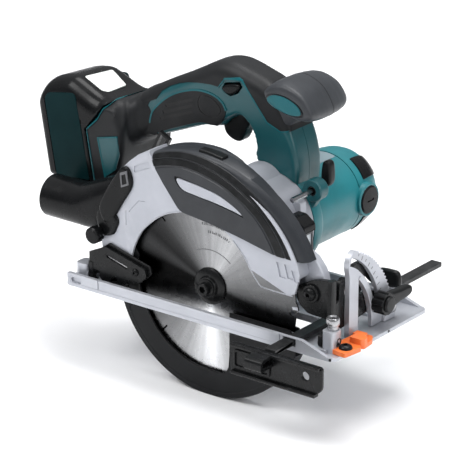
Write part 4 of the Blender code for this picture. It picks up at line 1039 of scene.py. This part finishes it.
def blade_case():
    """The cast case: its window on the blade, engraved marks, bright edges and pivot lug."""
    nose = turned((CASE_RADIUS, SPINDLE[1]), SPINDLE, 24)
    left = [(-58, 133.5), (-70, 127.5), (-80, 119.5), (-89, 110.5), (-86, 100), (-83, 90), (-90, 78),
            (-102, 61), (-112, 46), (-109.5, 31), (-96, 27)]
    outline = arc(SPINDLE, CASE_RADIUS, 24, 119, 60) + left + [(-84, 22), (-76, 40), (-60, 58), (26, 60),
                                                               (84, 39.5), (90, 42), (95, 59), nose]
    shell = prism("case_shell", outline, "y", -52.6, -30.5)
    cavity = arc(SPINDLE, CAVITY_RADIUS, 0, 180, 90) + [(-CAVITY_RADIUS, -4), (CAVITY_RADIUS, -4)]
    cut(shell, prism("cavity", cavity, "y", -50.3, -33))
    window = [(130, -6), (88, 39.5), (60, 40.2), (54, 43), (47, 51), (39, 63), (27, 75), (4, 90), (-12, 89.5),
              (-27, 86.2), (-40, 82), (-53, 74), (-67, 61), (-73, 51), (-77, 42), (-79.5, 32), (-81, 29),
              (-96, 20), (-96, -6)]
    window = rounded(window, [0, 0, 4, 4, 3, 5, 5, 6, 6, 6, 6, 6, 6, 5, 4, 3, 2, 0, 0], 3)
    cut(shell, prism("window", window, "y", -60, -44))
    cut(shell, prism("boss_way", circle(SPINDLE, 22.9), "y", -36, -26), box("lug_way", (-102, -49, 66),
                                                                            (-60, -35, 108)))
    mark = rounded([(-75, 110.5), (-75, 116), (-59.5, 123.5), (-58.5, 118)], 0.8, 2)
    cut(shell, prism("mark", mark, "y", -54, -51.9))
    for a, b in (((-84.3, 62), (-84.3, 75)), ((-81, 74.4), (-70.4, 86.4)), ((-70.4, 86.4), (-64.2, 87.2))):
        d = (Vector(b) - Vector(a)).normalized()
        n = Vector((-d.y, d.x)) * 0.34
        line = [tuple(Vector(a) + n), tuple(Vector(b) + n), tuple(Vector(b) - n), tuple(Vector(a) - n)]
        cut(shell, prism("engraving", line, "y", -53.5, -52.2))
    for x, z, w, h in ((71.5, 53.5, 6, 12.5), (79.5, 54, 5.5, 11.5), (86.5, 52.5, 4.5, 9.5)):
        step = [(x, z + h), (x + w, z + h), (x + w + 3.4, z), (x + 3.4, z)]
        cut(shell, prism("step", step, "y", -54, -51.6))
    put(shell, SILVER, "saw_body", 0.45, stands_for=("blade_case",))
    lug = arc(DEPTH, 11.4, 170, 375, 20) + [(109.4, 58), (106.4, 64), (100, 71.5), (92, 76)]
    piece = prism("case_lug", lug, "y", -39.6, -30.6, [circle(DEPTH, 4.4, 28)])
    put(piece, SILVER, "saw_body", 1.6, steps=4)
    front = curved([(88, 39.8), (60, 40.4), (54, 43), (47, 51), (39, 63), (28, 74)], 3, False)
    rear = curved([(-27, 86.4), (-40, 82.2), (-53, 74.2), (-67, 61.2), (-73, 51.2), (-77, 42.2), (-79.6, 32)],
                  3, False)
    seam = curved([(-58.2, 134), (-54.6, 124), (-43.6, 109), (-26.2, 88)], 4, False)
    for name, path, y, radius in (("case_window_edge_front", front, -52.7, 0.55),
                                  ("case_window_edge_rear", rear, -52.7, 0.55),
                                  ("case_hood_edge", seam, -53.6, 0.6)):
        edge = tube(name, [(x, y, z) for x, z in path], radius, 8)
        put(edge, ALLOY, "saw_body")


def nozzle():
    """The dust nozzle, its foot and flange on the case, and its thumb screw."""
    stations = [(-177, 64, 18.5, 18.5, 0.0, 1.0), (-160, 64, 18.6, 18.6, 0.0, 1.0),
                (-141, 64, 18.6, 18.8, 0.0, 1.0), (-134, 65.5, 18.4, 20.4, 0.06, 0.95),
                (-126, 68, 17.9, 22.6, 0.17, 0.88), (-112, 73, 16.8, 26.2, 0.36, 0.76),
                (-100, 79.5, 15.6, 29.6, 0.56, 0.6)]
    outer = [oval_ring(*s) for s in stations]
    wall = 2.2
    inner = [oval_ring(x, z, hy - wall, hz - wall, lean, power) for x, z, hy, hz, lean, power in stations]
    body = loft("nozzle_shell", outer + inner[::-1], closed=True)
    put(body, GLOSS, "saw_body", 0.8, sharp=50, steps=3, stands_for=("dust_nozzle",))
    foot = curved([(-106, 76), (-92, 66), (-94, 56), (-98, 50), (-108, 47), (-113, 53), (-116, 62),
                   (-114, 70)], 4)
    put(melted(pillow("nozzle_foot", foot, "y", -55.4, -46, 3.0), 0.9, 4), GLOSS, "saw_body")
    flange = curved([(-87, 113), (-79, 112), (-76.5, 98), (-88, 79), (-99, 62), (-107, 60), (-112, 74),
                     (-100, 96)], 4)
    put(melted(pillow("nozzle_flange", flange, "y", -55.8, -50, 2.4), 0.9, 3), GLOSS, "saw_body")
    frame_out = [(-87.5, 108.5), (-80.3, 111.6), (-78.3, 99.6), (-86.3, 95.6)]
    frame_in = [(-86.0, 106.6), (-81.6, 108.6), (-80.0, 100.6), (-85.2, 98.0)]
    put(prism("nozzle_window_frame", frame_out, "y", -56.6, -55.2, [frame_in]), MARK, "saw_body",
        0.2)
    head = lathe("thumb_screw", THUMB, [(0, -64), (6.4, -64), (7.2, -63.2), (7.4, -56), (3, -55.4),
                                        (2.6, -42), (0, -42)], "y", 40)
    for k in range(10):
        spot = arc(THUMB, 8.0, 36 * k, 36 * k, 1)[0]
        cut(head, prism("flute", circle(spot, 1.5, 12), "y", -62.6, -54))
    put(head, GLOSS, "saw_body", 0.3, stands_for=("nozzle_screw",))
    put(lathe("thumb_screw_face", THUMB, [(0, -64.5), (5.2, -64.4), (5.8, -63.9), (0, -63.6)], "y", 36),
        GLOSS, "saw_body")


def lamp():
    """The lamp block on the motor, with its cap and bezel."""
    side = arc(MOTOR, 50.8, -13, 22, 12) + [(76, 95), (82.4, 89.6), (82.8, 66), (79, 61.6)]
    body = prism("lamp_block", side, "y", -30.2, -16.8)
    cut(body, prism("panel", rounded([(75.6, 71), (80, 68), (80, 85), (74.6, 88)], 1.2, 3), "y", -33, -29.4))
    cut(body, box("lens_way", (80.2, -28.2, 67.6), (86, -18.8, 84.4)))
    put(body, CHARCOAL, "saw_body", 1.0, steps=3, stands_for=("lamp_housing",))
    cap = rounded([(68.6, 91), (66, 98), (75, 97.6), (83.6, 91.4), (84.2, 84.6), (77.6, 88)], 1.6, 4)
    put(prism("lamp_cap", cap, "y", -31.2, -15.8), GLOSS, "saw_body", 0.8, steps=3)
    rim = rounded([(-28.6, 67), (-18.4, 67), (-18.4, 85), (-28.6, 85)], 1.4, 3)
    inner = rounded([(-27.4, 68.4), (-19.6, 68.4), (-19.6, 83.6), (-27.4, 83.6)], 1.0, 3)
    put(prism("lamp_bezel", rim, "x", 82.2, 83.3, [inner]), MARK, "saw_body", 0.2)


# --- blade, flange and lower guard --------------------------------------------------------------
def blade_mark(r, tall, n, a0, a1):
    """A thin arc printed on the blade's near face."""
    section = [(r, -46.58), (r + tall, -46.58), (r + tall, -46.48), (r, -46.48)]
    return lathe("m", SPINDLE, section, "y", n, a0, a1)


def blade():
    """The blade with its gullets, carbide tips and a few plain printed marks."""
    teeth = 24
    outline = []
    step = 360.0 / teeth
    for i in range(teeth):
        a = i * step
        outline += [arc(SPINDLE, BLADE_RADIUS, a, a, 1)[0], arc(SPINDLE, 88.6, a + 2.6, a + 2.6, 1)[0]]
        outline += arc(SPINDLE, 87.1, a + 4.2, a + 10.4, 3)
        outline += arc(arc(SPINDLE, 83.6, a + 12.4, a + 12.4, 1)[0], 3.0, a + 100 + 140, a + 12.4, 5)
    holes = [circle(SPINDLE, 6.3, 36)]
    for k in range(4):
        a = 45 + 90 * k
        holes.append(arc(SPINDLE, 66, a, a + 1.3, 1) + arc(SPINDLE, 77, a + 1.3, a, 1))
    disc = prism("blade_disc", outline, "y", -46.5, -45.1, holes)
    put(disc, GROUND, "blade_set", stands_for=("saw_blade",))
    tips = []
    for i in range(teeth):
        a = i * step
        tooth = [arc(SPINDLE, BLADE_RADIUS, a, a, 1)[0], arc(SPINDLE, 88.7, a + 1.9, a + 1.9, 1)[0],
                 arc(SPINDLE, 83.4, a + 1.4, a + 1.4, 1)[0], arc(SPINDLE, 83.8, a - 0.1, a - 0.1, 1)[0]]
        tips.append(prism("tip", tooth, "y", -46.75, -44.85))
    put(joined("carbide_tips", tips), ALLOY, "blade_set")
    marks = []
    rows = [(66, 18, 62, 92), (59.5, 22, 60, 96), (53, 20, 62, 100), (46.5, 12, 66, 94)]
    for r, count, a0, a1 in rows:
        for k in range(count):
            a = a0 + (a1 - a0) * k / count
            width = (a1 - a0) / count * (0.62 if k % 3 else 0.36)
            tall = 2.3 if k % 4 else 1.5
            marks.append(blade_mark(r, tall, 3, a, a + width))
    marks.append(blade_mark(31.5, 0.7, 28, 50, 118))
    put(joined("blade_marks", marks), ETCH, "blade_set")


def flange():
    """The outer flange and the blade bolt."""
    outer = lathe("flange_dish", SPINDLE, [(4.4, -52.2), (8.6, -52.2), (9.2, -51.4), (9.6, -49.6),
                                           (14.6, -48.9), (15.9, -48.0), (16.1, -46.8), (4.4, -46.8)], "y",
                  72)
    put(outer, BLACKED, "blade_set", 0.3, stands_for=("outer_flange",))
    bolt = lathe("arbor_bolt", SPINDLE, [(0, -58.3), (4.8, -58.3), (5.4, -57.6), (5.4, -53.4), (7.6, -53.0),
                                         (7.6, -52.3), (4, -52.2), (4, -35.7), (0, -35.7)], "y", 48)
    cut(bolt, prism("socket", circle(SPINDLE, 3.1, 6), "y", -60, -55))
    put(bolt, BLACKED, "blade_set", 0.25, stands_for=("blade_bolt",))


def lower_guard():
    """The swinging guard: rim, near wall with its window, far wall and hub."""
    n = 120 if FINE else 70
    low = math.degrees(math.acos(GUARD_FRONT / GUARD_RADIUS))
    face = arc(SPINDLE, GUARD_RADIUS, 158, 360 - low, n)
    window = arc(SPINDLE, 74, 171, 265, 50) + arc((11, -38), 10.5, -88, -12, 8) + [(21.8, -30), (21.8, -4)]
    near = face + [(GUARD_FRONT, -2), (84, 8), (21.8, 8)] + window[::-1] + [(-92, 62)]
    wall = prism("guard_near", near, "y", -50, -48.4)
    put(wall, GUARD_BLACK, "lower_guard", 0.5, sharp=28, stands_for=("lower_guard",))
    back = face + [(GUARD_FRONT, -2), (84, 6), (32, 12)] + arc(SPINDLE, 30.5, -20, 170, 30) + [(-52, 44)]
    far = prism("guard_far", back, "y", -38.2, -36.6, [circle(SPINDLE, 23.4, 60)])
    put(far, GUARD_BLACK, "lower_guard", 0.4)
    rim = lathe("guard_rim", SPINDLE, [(95.2, -49.6), (97.1, -49.6), (97.6, -49.0), (97.6, -37.6),
                                       (97.1, -37.0), (95.2, -37.0)], "y", n, 160, 360 - low)
    put(rim, GUARD_BLACK, "lower_guard", 0.3)
    hub = lathe("guard_hub", SPINDLE, [(23.4, -37.4), (28, -37.4), (28, -33.5), (23.4, -33.5)], "y", 60)
    put(hub, GUARD_BLACK, "lower_guard", 0.4)
    lip = [(x, -49.6, z) for x, z in arc(SPINDLE, 74.6, 172, 264, 50) + arc((11, -38), 11.0, -86, -14, 8)
           + [(22.6, -29), (22.6, -6)]]
    put(tube("guard_window_lip", lip, 0.62, 8), BLACKED, "lower_guard")
    groove = lathe("guard_step", SPINDLE, [(92.4, -50.2), (93.4, -50.2), (93.4, -49.9), (92.4, -49.9)], "y",
                   n, 165, 330)
    put(groove, GUARD_BLACK, "lower_guard")


# --- base ---------------------------------------------------------------------------------------
def base():
    """The pressed base with rails, ribs, bosses and the notch in front of the blade."""
    x0, x1, w = -137.0, 140.0, 68.0
    outline = [(x0, -w), (x1 - 4, -w), (x1, -w + 4), (x1, w - 4), (x1 - 4, w), (x0, w)]
    hole = rounded([(-99, -59), (89.4, -59), (89.4, -11), (-99, -11)], 4, 4)
    plate = prism("base_pressing", rounded(outline, 2, 3), "z", 0, 3, [hole])
    rail = [(x0, 0.4), (x0, 11.4), (108, 11.4), (133, 3.2), (132, 0.4)]
    for side in (-1, 1):
        lo, hi = sorted((side * w, side * (w - 3.6)))
        piece = prism("rail", rail, "y", lo, hi)
        slot = [(90.0, 4.4), (102.6, 4.4), (102.6, 10.8), (90.0, 10.8)]
        cut(piece, prism("bar_way", slot, "y", lo - 3, hi + 3))
        if side < 0:
            inset = [(x0 + 3, 2.2), (x0 + 3, 9.6), (86, 9.6), (86, 2.2)]
            cut(piece, prism("panel", rounded(inset, 1.0, 2), "y", -w - 2, -w + 0.35))
            cut(piece, prism("oval", rounded([(x0 + 4, 3.4), (x0 + 15, 3.4), (x0 + 15, 8.4), (x0 + 4, 8.4)],
                                             2.4, 4), "y", -w - 3, -w + 2.2))
            for x in (-104.0, 86.0):
                cut(piece, box("notch", (x, -w - 2, 0), (x + 0.9, -w + 1.2, 14)))
        fuse(plate, piece)
    fuse(plate, box("rear_rim", (x0, -w + 1, 1), (x0 + 3.2, w - 1, 7.4)))
    for y in (8.0, 22.0, 36.0, 50.0):
        fuse(plate, box("rib", (x0 + 2, y, 1), (110, y + 2.0, 5.4)))
    for x in (-98, -40, 20, 76):
        fuse(plate, box("cross_rib", (x, -10, 1), (x + 2.2, w - 1, 5.4)))
    for lo, hi in (((-101.5, -62), (-99.2, -9)), ((-101, -10.6), (92, -8.4)), ((108, -63), (128, -60.4)),
                   ((104, -34), (128, -31.4))):
        fuse(plate, box("rib", (*lo, 1), (*hi, 6)))
    fuse(plate, prism("bridge", rounded([(86, 1), (109, 1), (109, 15), (86, 15)], 1.0, 2), "y", 52, w - 1))
    cut(plate, box("fence_way", (90.2, -w - 4, 4.8), (102.4, w + 4, 10.6)))
    cut(plate, box("kerf_notch", (132, -43, -2), (144, -36, 5)))
    y0, y1 = -60, -46.5
    for left, right, top in ((-134.5, -122.5, 19), (121.8, 133.6, 21)):
        boss = rounded([(left, y0), (right, y0), (right, y1), (left, y1)], 4, 4)
        fuse(plate, prism("boss", boss, "z", 1, top))
    cut(plate, prism("pin_way", circle(TILT, 2.3, 20), "x", -140, 139))
    cut(plate, prism("clamp_way", circle((96.5, 60), 3.4, 24), "z", 6, 20))
    put(plate, ALLOY, "base", 0.35, stands_for=("base_plate",))
    stud = lathe("stop_stud", (127.8, -52.0), [(0, 21.2), (4.4, 21.2), (4.4, 24.4), (5.3, 25.0), (5.5, 25.6),
                                               (5.5, 30.6), (4.9, 31.6), (4.0, 31.6), (3.6, 30.8), (0, 30.8)],
                 "z", 40)
    put(stud, STEEL, "base", 0.15)
    # Painted shade: a near-black disc with a thin rim, standing for the hole in the front boss.
    boss_hole_shade = lathe("boss_screw", (-51.6, 11.5), [(0, 133.2), (2.8, 133.2), (3.1, 133.8), (2.2, 133.85),
                                                    (2.0, 133.4), (0, 133.4)], "x", 24)
    put(boss_hole_shade, SHADE_AND_SEAM_BLACK, "base")
    for name, along, axis, outer, inner in (("edge_dot_0", 136.5, "y", -68.2, -67.6),
                                            ("edge_dot_1", 10.0, "x", 140.2, 139.6)):
        dot = lathe(name, (along, 1.6), [(0, outer), (1.2, outer), (1.2, inner), (0, inner)], axis, 16)
        put(dot, SHADE_AND_SEAM_BLACK, "base")


def quadrant():
    """The bevel quadrant with its arc slot, scale and toothed edge."""
    outer = arc((-45, 0), 80.5, 73, 10, 40)
    inner = arc(TILT, 58.5, 3, 50.0, 30)
    outline = [(-27, 3.4), (-27, 60), (-29.2, 66), (-28.2, 71.6), (-24.4, 76.4)] + outer + [(36, 3.4)]
    outline += [(inner[0][0], 3.4)] + inner + [(-15.5, 50), (-15.5, 3.4)]
    slot = arc(TILT, 63.4, 8.5, 66.3, 40) + arc(TILT, 70.6, 66.3, 8.5, 40)
    plate = prism("quadrant_plate", outline, "x", 122, 126, [slot])
    put(plate, ALLOY, "base", 0.5, stands_for=("bevel_quadrant",))
    post = rounded([(-27.6, 3.4), (-27.6, 58), (-29.8, 66), (-28.6, 72.4), (-24, 77.6), (-18, 78.6),
                    (-15, 70), (-15, 3.4)], [1, 6, 4, 4, 4, 4, 3, 1], 4)
    post = prism("quadrant_post", post, "x", 121.8, 126.6)
    cut(post, prism("slot", slot, "x", 118, 130))
    put(post, ALLOY, "base", 0.6, steps=3)
    rib = arc(TILT, 57.2, 6, 48, 30) + arc(TILT, 61.0, 48, 6, 30)
    put(prism("quadrant_rib", rib, "x", 121.8, 126.8), ALLOY, "base", 0.5)
    teeth = []
    for k in range(21):
        a = 12 + k * 2.9
        p0 = arc((-45, 0), 79.8, a, a, 1)[0]
        p1 = arc((-45, 0), 79.8, a + 1.5, a + 1.5, 1)[0]
        q1 = arc((-45, 0), 82.0, a + 1.15, a + 1.15, 1)[0]
        q0 = arc((-45, 0), 82.0, a + 0.35, a + 0.35, 1)[0]
        teeth.append(prism("t", [p0, p1, q1, q0], "x", 122.6, 125.4))
    put(joined("quadrant_teeth", teeth), ALLOY, "base")
    ticks = []
    for k in range(11):
        a = 14 + k * 5
        r0 = 73.0 if k % 2 else 71.8
        p = [arc(TILT, r0, a - 0.25, a - 0.25, 1)[0], arc(TILT, r0, a + 0.25, a + 0.25, 1)[0],
             arc(TILT, 75.4, a + 0.25, a + 0.25, 1)[0], arc(TILT, 75.4, a - 0.25, a - 0.25, 1)[0]]
        ticks.append(prism("k", p, "x", 125.9, 126.15))
    put(joined("quadrant_scale", ticks), MARK, "base")
    foot = rounded([(114, 20), (129, 20), (129, 37), (114, 37)], 3, 4)
    put(prism("quadrant_foot", foot, "z", 3.2, 8.5), ALLOY, "base", 0.8)
    bolt = [(0, 126), (4.6, 126), (4.9, 128.4), (4.0, 129.6), (0, 130)]
    put(lathe("quadrant_bolt", (33, 12), bolt, "x", 6), STEEL, "base", 0.3)


def sight():
    """The orange sight guide at the front of the base."""
    outline = [(131, -58.8), (145.6, -60.4), (148.2, -41.6), (147, -39.8), (144.2, -38), (147.6, -36),
               (146.6, -23), (142, -16), (128, -17.6), (127.2, -44.8), (134.4, -45.8)]
    body = prism("sight_shell", rounded(outline, [1.5, 2, 1, .6, .5, .6, 1.5, 2, 1, 1, 1], 3), "z", 3.3, 7.0)
    block = [(134.6, -38.4), (145.6, -38.4), (148, -36), (147.4, -31), (143.6, -29), (143, -26), (134.6, -26)]
    fuse(body, prism("block", rounded(block, 0.8, 2), "z", 6, 11.8))
    ridge = [(129, -26), (142, -25), (139, -19), (129, -19.4)]
    fuse(body, prism("ridge", rounded(ridge, 0.8, 2), "z", 6, 9.6))
    put(body, ORANGE, "base", 0.5, stands_for=("sight_guide",))
    screw("sight_screw", (139.6, -50.6), "z", 7.0, 1, 5.6, "base", BLACKED, 4)


# --- fence --------------------------------------------------------------------------------------
def fence():
    """The rip fence: bar, sloping arm and guide plate."""
    strip = box("fence_bar", (90.9, -94, 5.6), (101.4, 147, 9.8))
    put(strip, BRUSHED_BLACK, "rip_fence", 0.5, stands_for=("rip_fence",))
    arm = [(-113.5, -3.4), (-113.5, 3.2), (-112.4, 5.4), (-110, 6.6), (-70, 9.8), (-70, 6.8), (-108, 3.9),
           (-110.4, 2.6), (-110.6, -0.6), (-96, -0.6), (-96, -3.4)]
    arm = prism("fence_arm", rounded(arm, [2, 2, 2, 2, .4, .4, 2, 2, 2, .4, .4], 4), "x", 84.6, 101.4)
    cut(arm, box("bar_side", (80, -94.4, 0), (90.9, -60, 20)))
    put(arm, BLACKED, "rip_fence", 0.6)
    plate = rounded([(59, -17), (143.5, -17), (149.4, -11.4), (149.4, 7.6), (59, 7.6)], [4, 4, 3, 2, 4], 4)
    body = prism("fence_plate", plate, "y", -97.2, -94.2, [circle((133.2, -3), 3.7, 28)])
    put(body, BLACKED, "rip_fence", 0.5)
    for name, lo, hi in (("fence_lip_low", -18.4, -15.6), ("fence_lip_top", 5.4, 8.2)):
        xs = (61, 144) if lo < 0 else (61, 148)
        lip = prism(name, rounded([(-100.6, lo), (-94.0, lo), (-94.0, hi), (-100.6, hi)], 1.1, 3), "x", *xs)
        put(lip, BLACKED, "rip_fence", 0.3)
    window = rounded([(62.5, -13), (99, -13), (99, 3), (62.5, 3)], 3.2, 4)
    inner = rounded([(64.5, -11), (97, -11), (97, 1.2), (64.5, 1.2)], 2.4, 4)
    put(prism("fence_window_frame", window, "y", -98.6, -97.0, [inner]), BLACKED, "rip_fence",
        0.4)


def fence_clamp():
    """The wing screw that clamps the fence bar."""
    side = curved([(92, 27), (95, 30.8), (101, 32), (108, 32.4), (115, 31.6), (117.6, 25), (116.6, 18.6),
                   (108, 16.4), (103, 16), (96.5, 15.4), (90, 16), (84.6, 18.4), (80, 24), (84, 28),
                   (88, 25)], 4)
    wing = melted(pillow("clamp_wing", side, "y", 57.0, 63.0, 2.2), 0.9, 3)
    put(wing, BLACK, "fence_clamp", stands_for=("fence_clamp_screw",))
    stem = lathe("clamp_stem", (96.5, 60), [(0, 10.6), (3, 10.6), (3, 15.2), (6.4, 15.2), (6.4, 17.6),
                                            (5.2, 21), (0, 21)], "z", 32)
    put(stem, STEEL, "fence_clamp", 0.2)


# --- tilting frame ------------------------------------------------------------------------------
def front_bracket():
    """The front tilt bracket, which carries the bevel clamp and the depth pivot."""
    eye = arc(TILT, 5.6, 160, 290, 14)
    outline = eye + [(-42, 12.6), (-20, 13.6)] + arc(CLAMP, 7.8, -80, 80, 16)
    outline += [(-10, 35), (-22, 36.5), (-24.6, 40), (-24.6, 55), (-27, 56.6), (-32.5, 54.6), (-34.4, 51.6),
                (-34.8, 38), (-41.4, 36.5), (-41.8, 56.6), (-45.2, 56.6), (-45.8, 20), (-58.4, 15)]
    outline = rounded(outline, 1.0, 2)
    plate = prism("tilt_plate", outline, "x", 117.3, 121.4, [circle(TILT, 2.4, 20), circle(CLAMP, 3.4, 24)])
    put(plate, BLACKED, "tilt_frame", 0.5, stands_for=("front_tilt_bracket",))
    arm = [(85.8, 42.3), (86.8, 46), (91.6, 49.2), (101.6, 54.4), (110, 56.6), (119.5, 57.4), (119.5, 24),
           (101.9, 24.3), (96.2, 25), (89.5, 30.4), (85.8, 35.6)]
    arm = rounded(arm, [3, 2, 3, 3, 3, 0.6, 0.6, 2, 3, 3, 3], 4)
    piece = prism("tilt_arm", arm, "y", -44.4, -40.0, [circle(DEPTH, 4.4, 28)])
    put(piece, BLACKED, "tilt_frame", 1.0, steps=3)
    fold = [(117.4, -45.2), (121.6, -45.2), (121.6, -38), (117.2, -38)]
    put(prism("tilt_fold", rounded(fold, 1.4, 3), "z", 16, 57.4), BLACKED, "tilt_frame", 0.6)
    stop = [(-20, 37), (-6, 35), (2, 40), (2, 58), (-3, 63), (-14, 63), (-20, 56)]
    put(prism("tilt_stop", rounded(stop, 2, 3), "x", 117.3, 121.2), BLACKED, "tilt_frame", 0.5)
    clip = rounded([(-28, 41), (-19, 44), (-19, 49), (-28, 46)], 1.2, 3)
    put(prism("tilt_clip", clip, "x", 121.3, 122.0), STEEL, "tilt_frame", 0.2)
    screw("depth_screw", DEPTH, "y", -47.0, -1, 5.6, "tilt_frame", BLACKED, 6)
    washer = lathe("depth_washer", DEPTH, [(4.2, -47.0), (7.4, -47.0), (7.9, -46.4), (7.9, -44.5),
                                           (4.2, -44.5)], "y", 40)
    put(washer, BLACKED, "tilt_frame", 0.2, stands_for=("depth_pivot_pin",))


def rear_bracket():
    """The rear tilt bracket beside the nozzle."""
    bracket = rounded([(-110, 16), (-112, 34), (-104.5, 39.5), (-61, 28.5), (-59, 22), (-66, 15),
                       (-78, 12), (-90, 5.6), (-104, 5.2), (-110, 10)], 1.4, 3)
    slot = rounded([(-103, 34.2), (-102.4, 30.2), (-80.5, 24), (-79, 27)], 1.2, 3)
    hole = rounded([(-99.6, 8.6), (-90, 10.4), (-92.4, 15.4)], 0.8, 2)
    cheek = prism("rear_cheek", bracket, "y", -57.8, -55.0, [slot, hole])
    put(cheek, BLACKED, "tilt_frame", 0.5)
    second = [(x + 3.2, z + 2.6) for x, z in bracket]
    put(prism("rear_cheek_inner", second, "y", -54.6, -53.0), BLACKED, "tilt_frame", 0.4)
    strip = rounded([(-101.6, 31.6), (-101.2, 30.3), (-81.2, 24.7), (-80.4, 26.0)], 0.5, 2)
    put(prism("rear_slot_strip", strip, "y", -56.4, -55.4), STEEL, "tilt_frame", 0.15)
    screw("rear_screw", (-71, 23.6), "y", -57.9, -1, 3.4, "tilt_frame", BLACKED, 6)
    boss = lathe("rear_pivot_boss", TILT, [(2.4, -134.2), (5.2, -134.2), (6.0, -133.2), (6.0, -122.4),
                                           (2.4, -122.4)], "x", 40)
    put(boss, ALLOY, "base", 0.4)


def bevel_lever():
    """The lever of the bevel clamp, with its fluted hub."""
    y, z = CLAMP
    outline = []
    for k in range(9):
        a = 40 * k
        outline += arc(CLAMP, 9.6, a - 11, a + 11, 3) + arc(CLAMP, 8.5, a + 18, a + 22, 1)
    hub = prism("lever_hub", outline, "x", 127.0, 138, [circle(CLAMP, 3.5, 24)])
    put(hub, BLACK, "bevel_lever", 0.5, stands_for=("bevel_lever",))
    cap = lathe("lever_cap", CLAMP, [(0, 138.2), (6.4, 138.2), (7.0, 138.9), (6.0, 140.6), (0, 141)], "x", 32)
    put(cap, BLACK, "bevel_lever", 0.3)
    arm = curved([(y + 4, z - 6.4), (y + 20, z - 4.8), (y + 34, z - 3.6), (y + 38, z + 0.4),
                  (y + 35, z + 5.4), (y + 20, z + 6.6), (y + 4, z + 6.6)], 4)
    put(melted(pillow("lever_arm", arm, "x", 129, 137, 2.8), 0.9, 3), BLACK, "bevel_lever")


def dress_nodes():
    """Finishes for the CAD solids that stay in view."""
    looks = ((SILVER, {"gear_plate": 0.3}),
             (STEEL, {"stator": 0.3, "spindle_bearing": 0.3, "spindle_bush": 0.2, "motor_bearing_front": 0.3,
                      "motor_bearing_rear": 0.3, "inner_flange": 0.2, "spindle": 0.2, "driven_gear": 0.1,
                      "intermediate_shaft": 0.1, "intermediate_gear": 0.1, "armature_shaft": 0.1,
                      "guard_spring": 0.3, "depth_bolt": 0.3, "bevel_clamp_bolt": 0.3, "front_tilt_pin": 0.2,
                      "rear_tilt_pin": 0.2, "hex_wrench": 0.3}),
             (BLACK, {"fan": 0.2, "switch_body": 0.5, "depth_lever": 0.8, "shaft_lock": 0.4}),
             (COPPER, {"armature_core": 0.2, "commutator": 0.2}),
             (BLACKED, {"depth_guide": 0.5, "rear_tilt_bracket": 0.4}),
             (LENS, {"lamp_lens": 0.5}))
    for mat, bevels in looks:
        for name, bevel in bevels.items():
            ob = NODES[name]
            ob.data.materials.clear()
            ob.data.materials.append(mat)
            soften(ob, bevel, 3)


# --- stage --------------------------------------------------------------------------------------
def lamp_light(name, place, target, size, power):
    """A rectangular studio light aimed at a point."""
    data = bpy.data.lights.new(name, "AREA")
    data.shape = "RECTANGLE"
    data.size, data.size_y = size
    data.energy = power
    ob = placed(name, data)
    ob.location = place
    ob.rotation_euler = (Vector(target) - Vector(place)).to_track_quat("-Z", "Y").to_euler()


FLOOR_REACH = 30.0                              # metres from the middle to each edge
CAMERA_TURN = math.radians(37.22)               # from straight in front of the blade, towards the nose
CAMERA_RISE = math.radians(20.97)
CAMERA_TARGET = (12.87, -41.1, 78.9)
CAMERA_DISTANCE = 2458.2


def stage():
    """The floor, the camera of the photo, a soft sky and three area lights."""
    lowest, reach = CAD_BOX[0][2], FLOOR_REACH
    floor = bpy.data.meshes.new("floor")
    corners = [(-reach, -reach, lowest), (reach, -reach, lowest), (reach, reach, lowest),
               (-reach, reach, lowest)]
    floor.from_pydata(corners, [], [(0, 1, 2, 3)])
    ground = placed("floor", floor)
    floor.materials.append(surface("pale_floor", (0.95, 0.95, 0.955), rough=0.7, grain=300, bump=0.02,
                                   shade=0.01))
    camera = bpy.data.cameras.new("camera")
    camera.lens = 237.9
    camera.sensor_width = 36.0
    camera.clip_end = 50.0
    eye = placed("camera", camera)
    back = Vector((math.sin(CAMERA_TURN) * math.cos(CAMERA_RISE),
                   -math.cos(CAMERA_TURN) * math.cos(CAMERA_RISE), math.sin(CAMERA_RISE)))
    eye.location = Vector(CAMERA_TARGET) * U + back * CAMERA_DISTANCE * U
    eye.rotation_euler = (-back).to_track_quat("-Z", "Y").to_euler()
    bpy.context.scene.camera = eye
    world = bpy.data.worlds.new("studio")
    world.use_nodes = True
    tree = world.node_tree
    sky = add(tree, "ShaderNodeSeparateXYZ")
    link(tree, add(tree, "ShaderNodeTexCoord").outputs["Generated"], sky.inputs["Vector"])
    ramp = add(tree, "ShaderNodeValToRGB")
    ramp.color_ramp.elements[0].position = 0.05
    ramp.color_ramp.elements[0].color = (0.14, 0.145, 0.155, 1.0)
    ramp.color_ramp.elements[1].position = 0.9
    ramp.color_ramp.elements[1].color = (0.97, 0.98, 1.0, 1.0)
    link(tree, sky.outputs["Z"], ramp.inputs["Fac"])
    link(tree, ramp.outputs["Color"], tree.nodes["Background"].inputs["Color"])
    tree.nodes["Background"].inputs["Strength"].default_value = 0.9
    bpy.context.scene.world = world
    bpy.context.scene.view_settings.view_transform = "Standard"
    middle = (0.0, 0.0, 0.07)
    lamp_light("key", (-0.6, -1.0, 1.5), middle, (0.8, 0.8), 16)
    lamp_light("side", (1.7, -0.3, 0.9), middle, (0.4, 1.2), 8)
    lamp_light("top", (0.1, 0.3, 1.8), middle, (1.4, 0.7), 26)


def main():
    """Every piece, then the stage."""
    dress_nodes()
    battery()
    battery_plate()
    battery_mount()
    handle()
    trigger()
    lock_off()
    knob()
    motor()
    gear_case_look()
    hood()
    blade_case()
    nozzle()
    lamp()
    blade()
    flange()
    lower_guard()
    base()
    quadrant()
    sight()
    fence()
    fence_clamp()
    front_bracket()
    rear_bracket()
    bevel_lever()
    stage()


main()
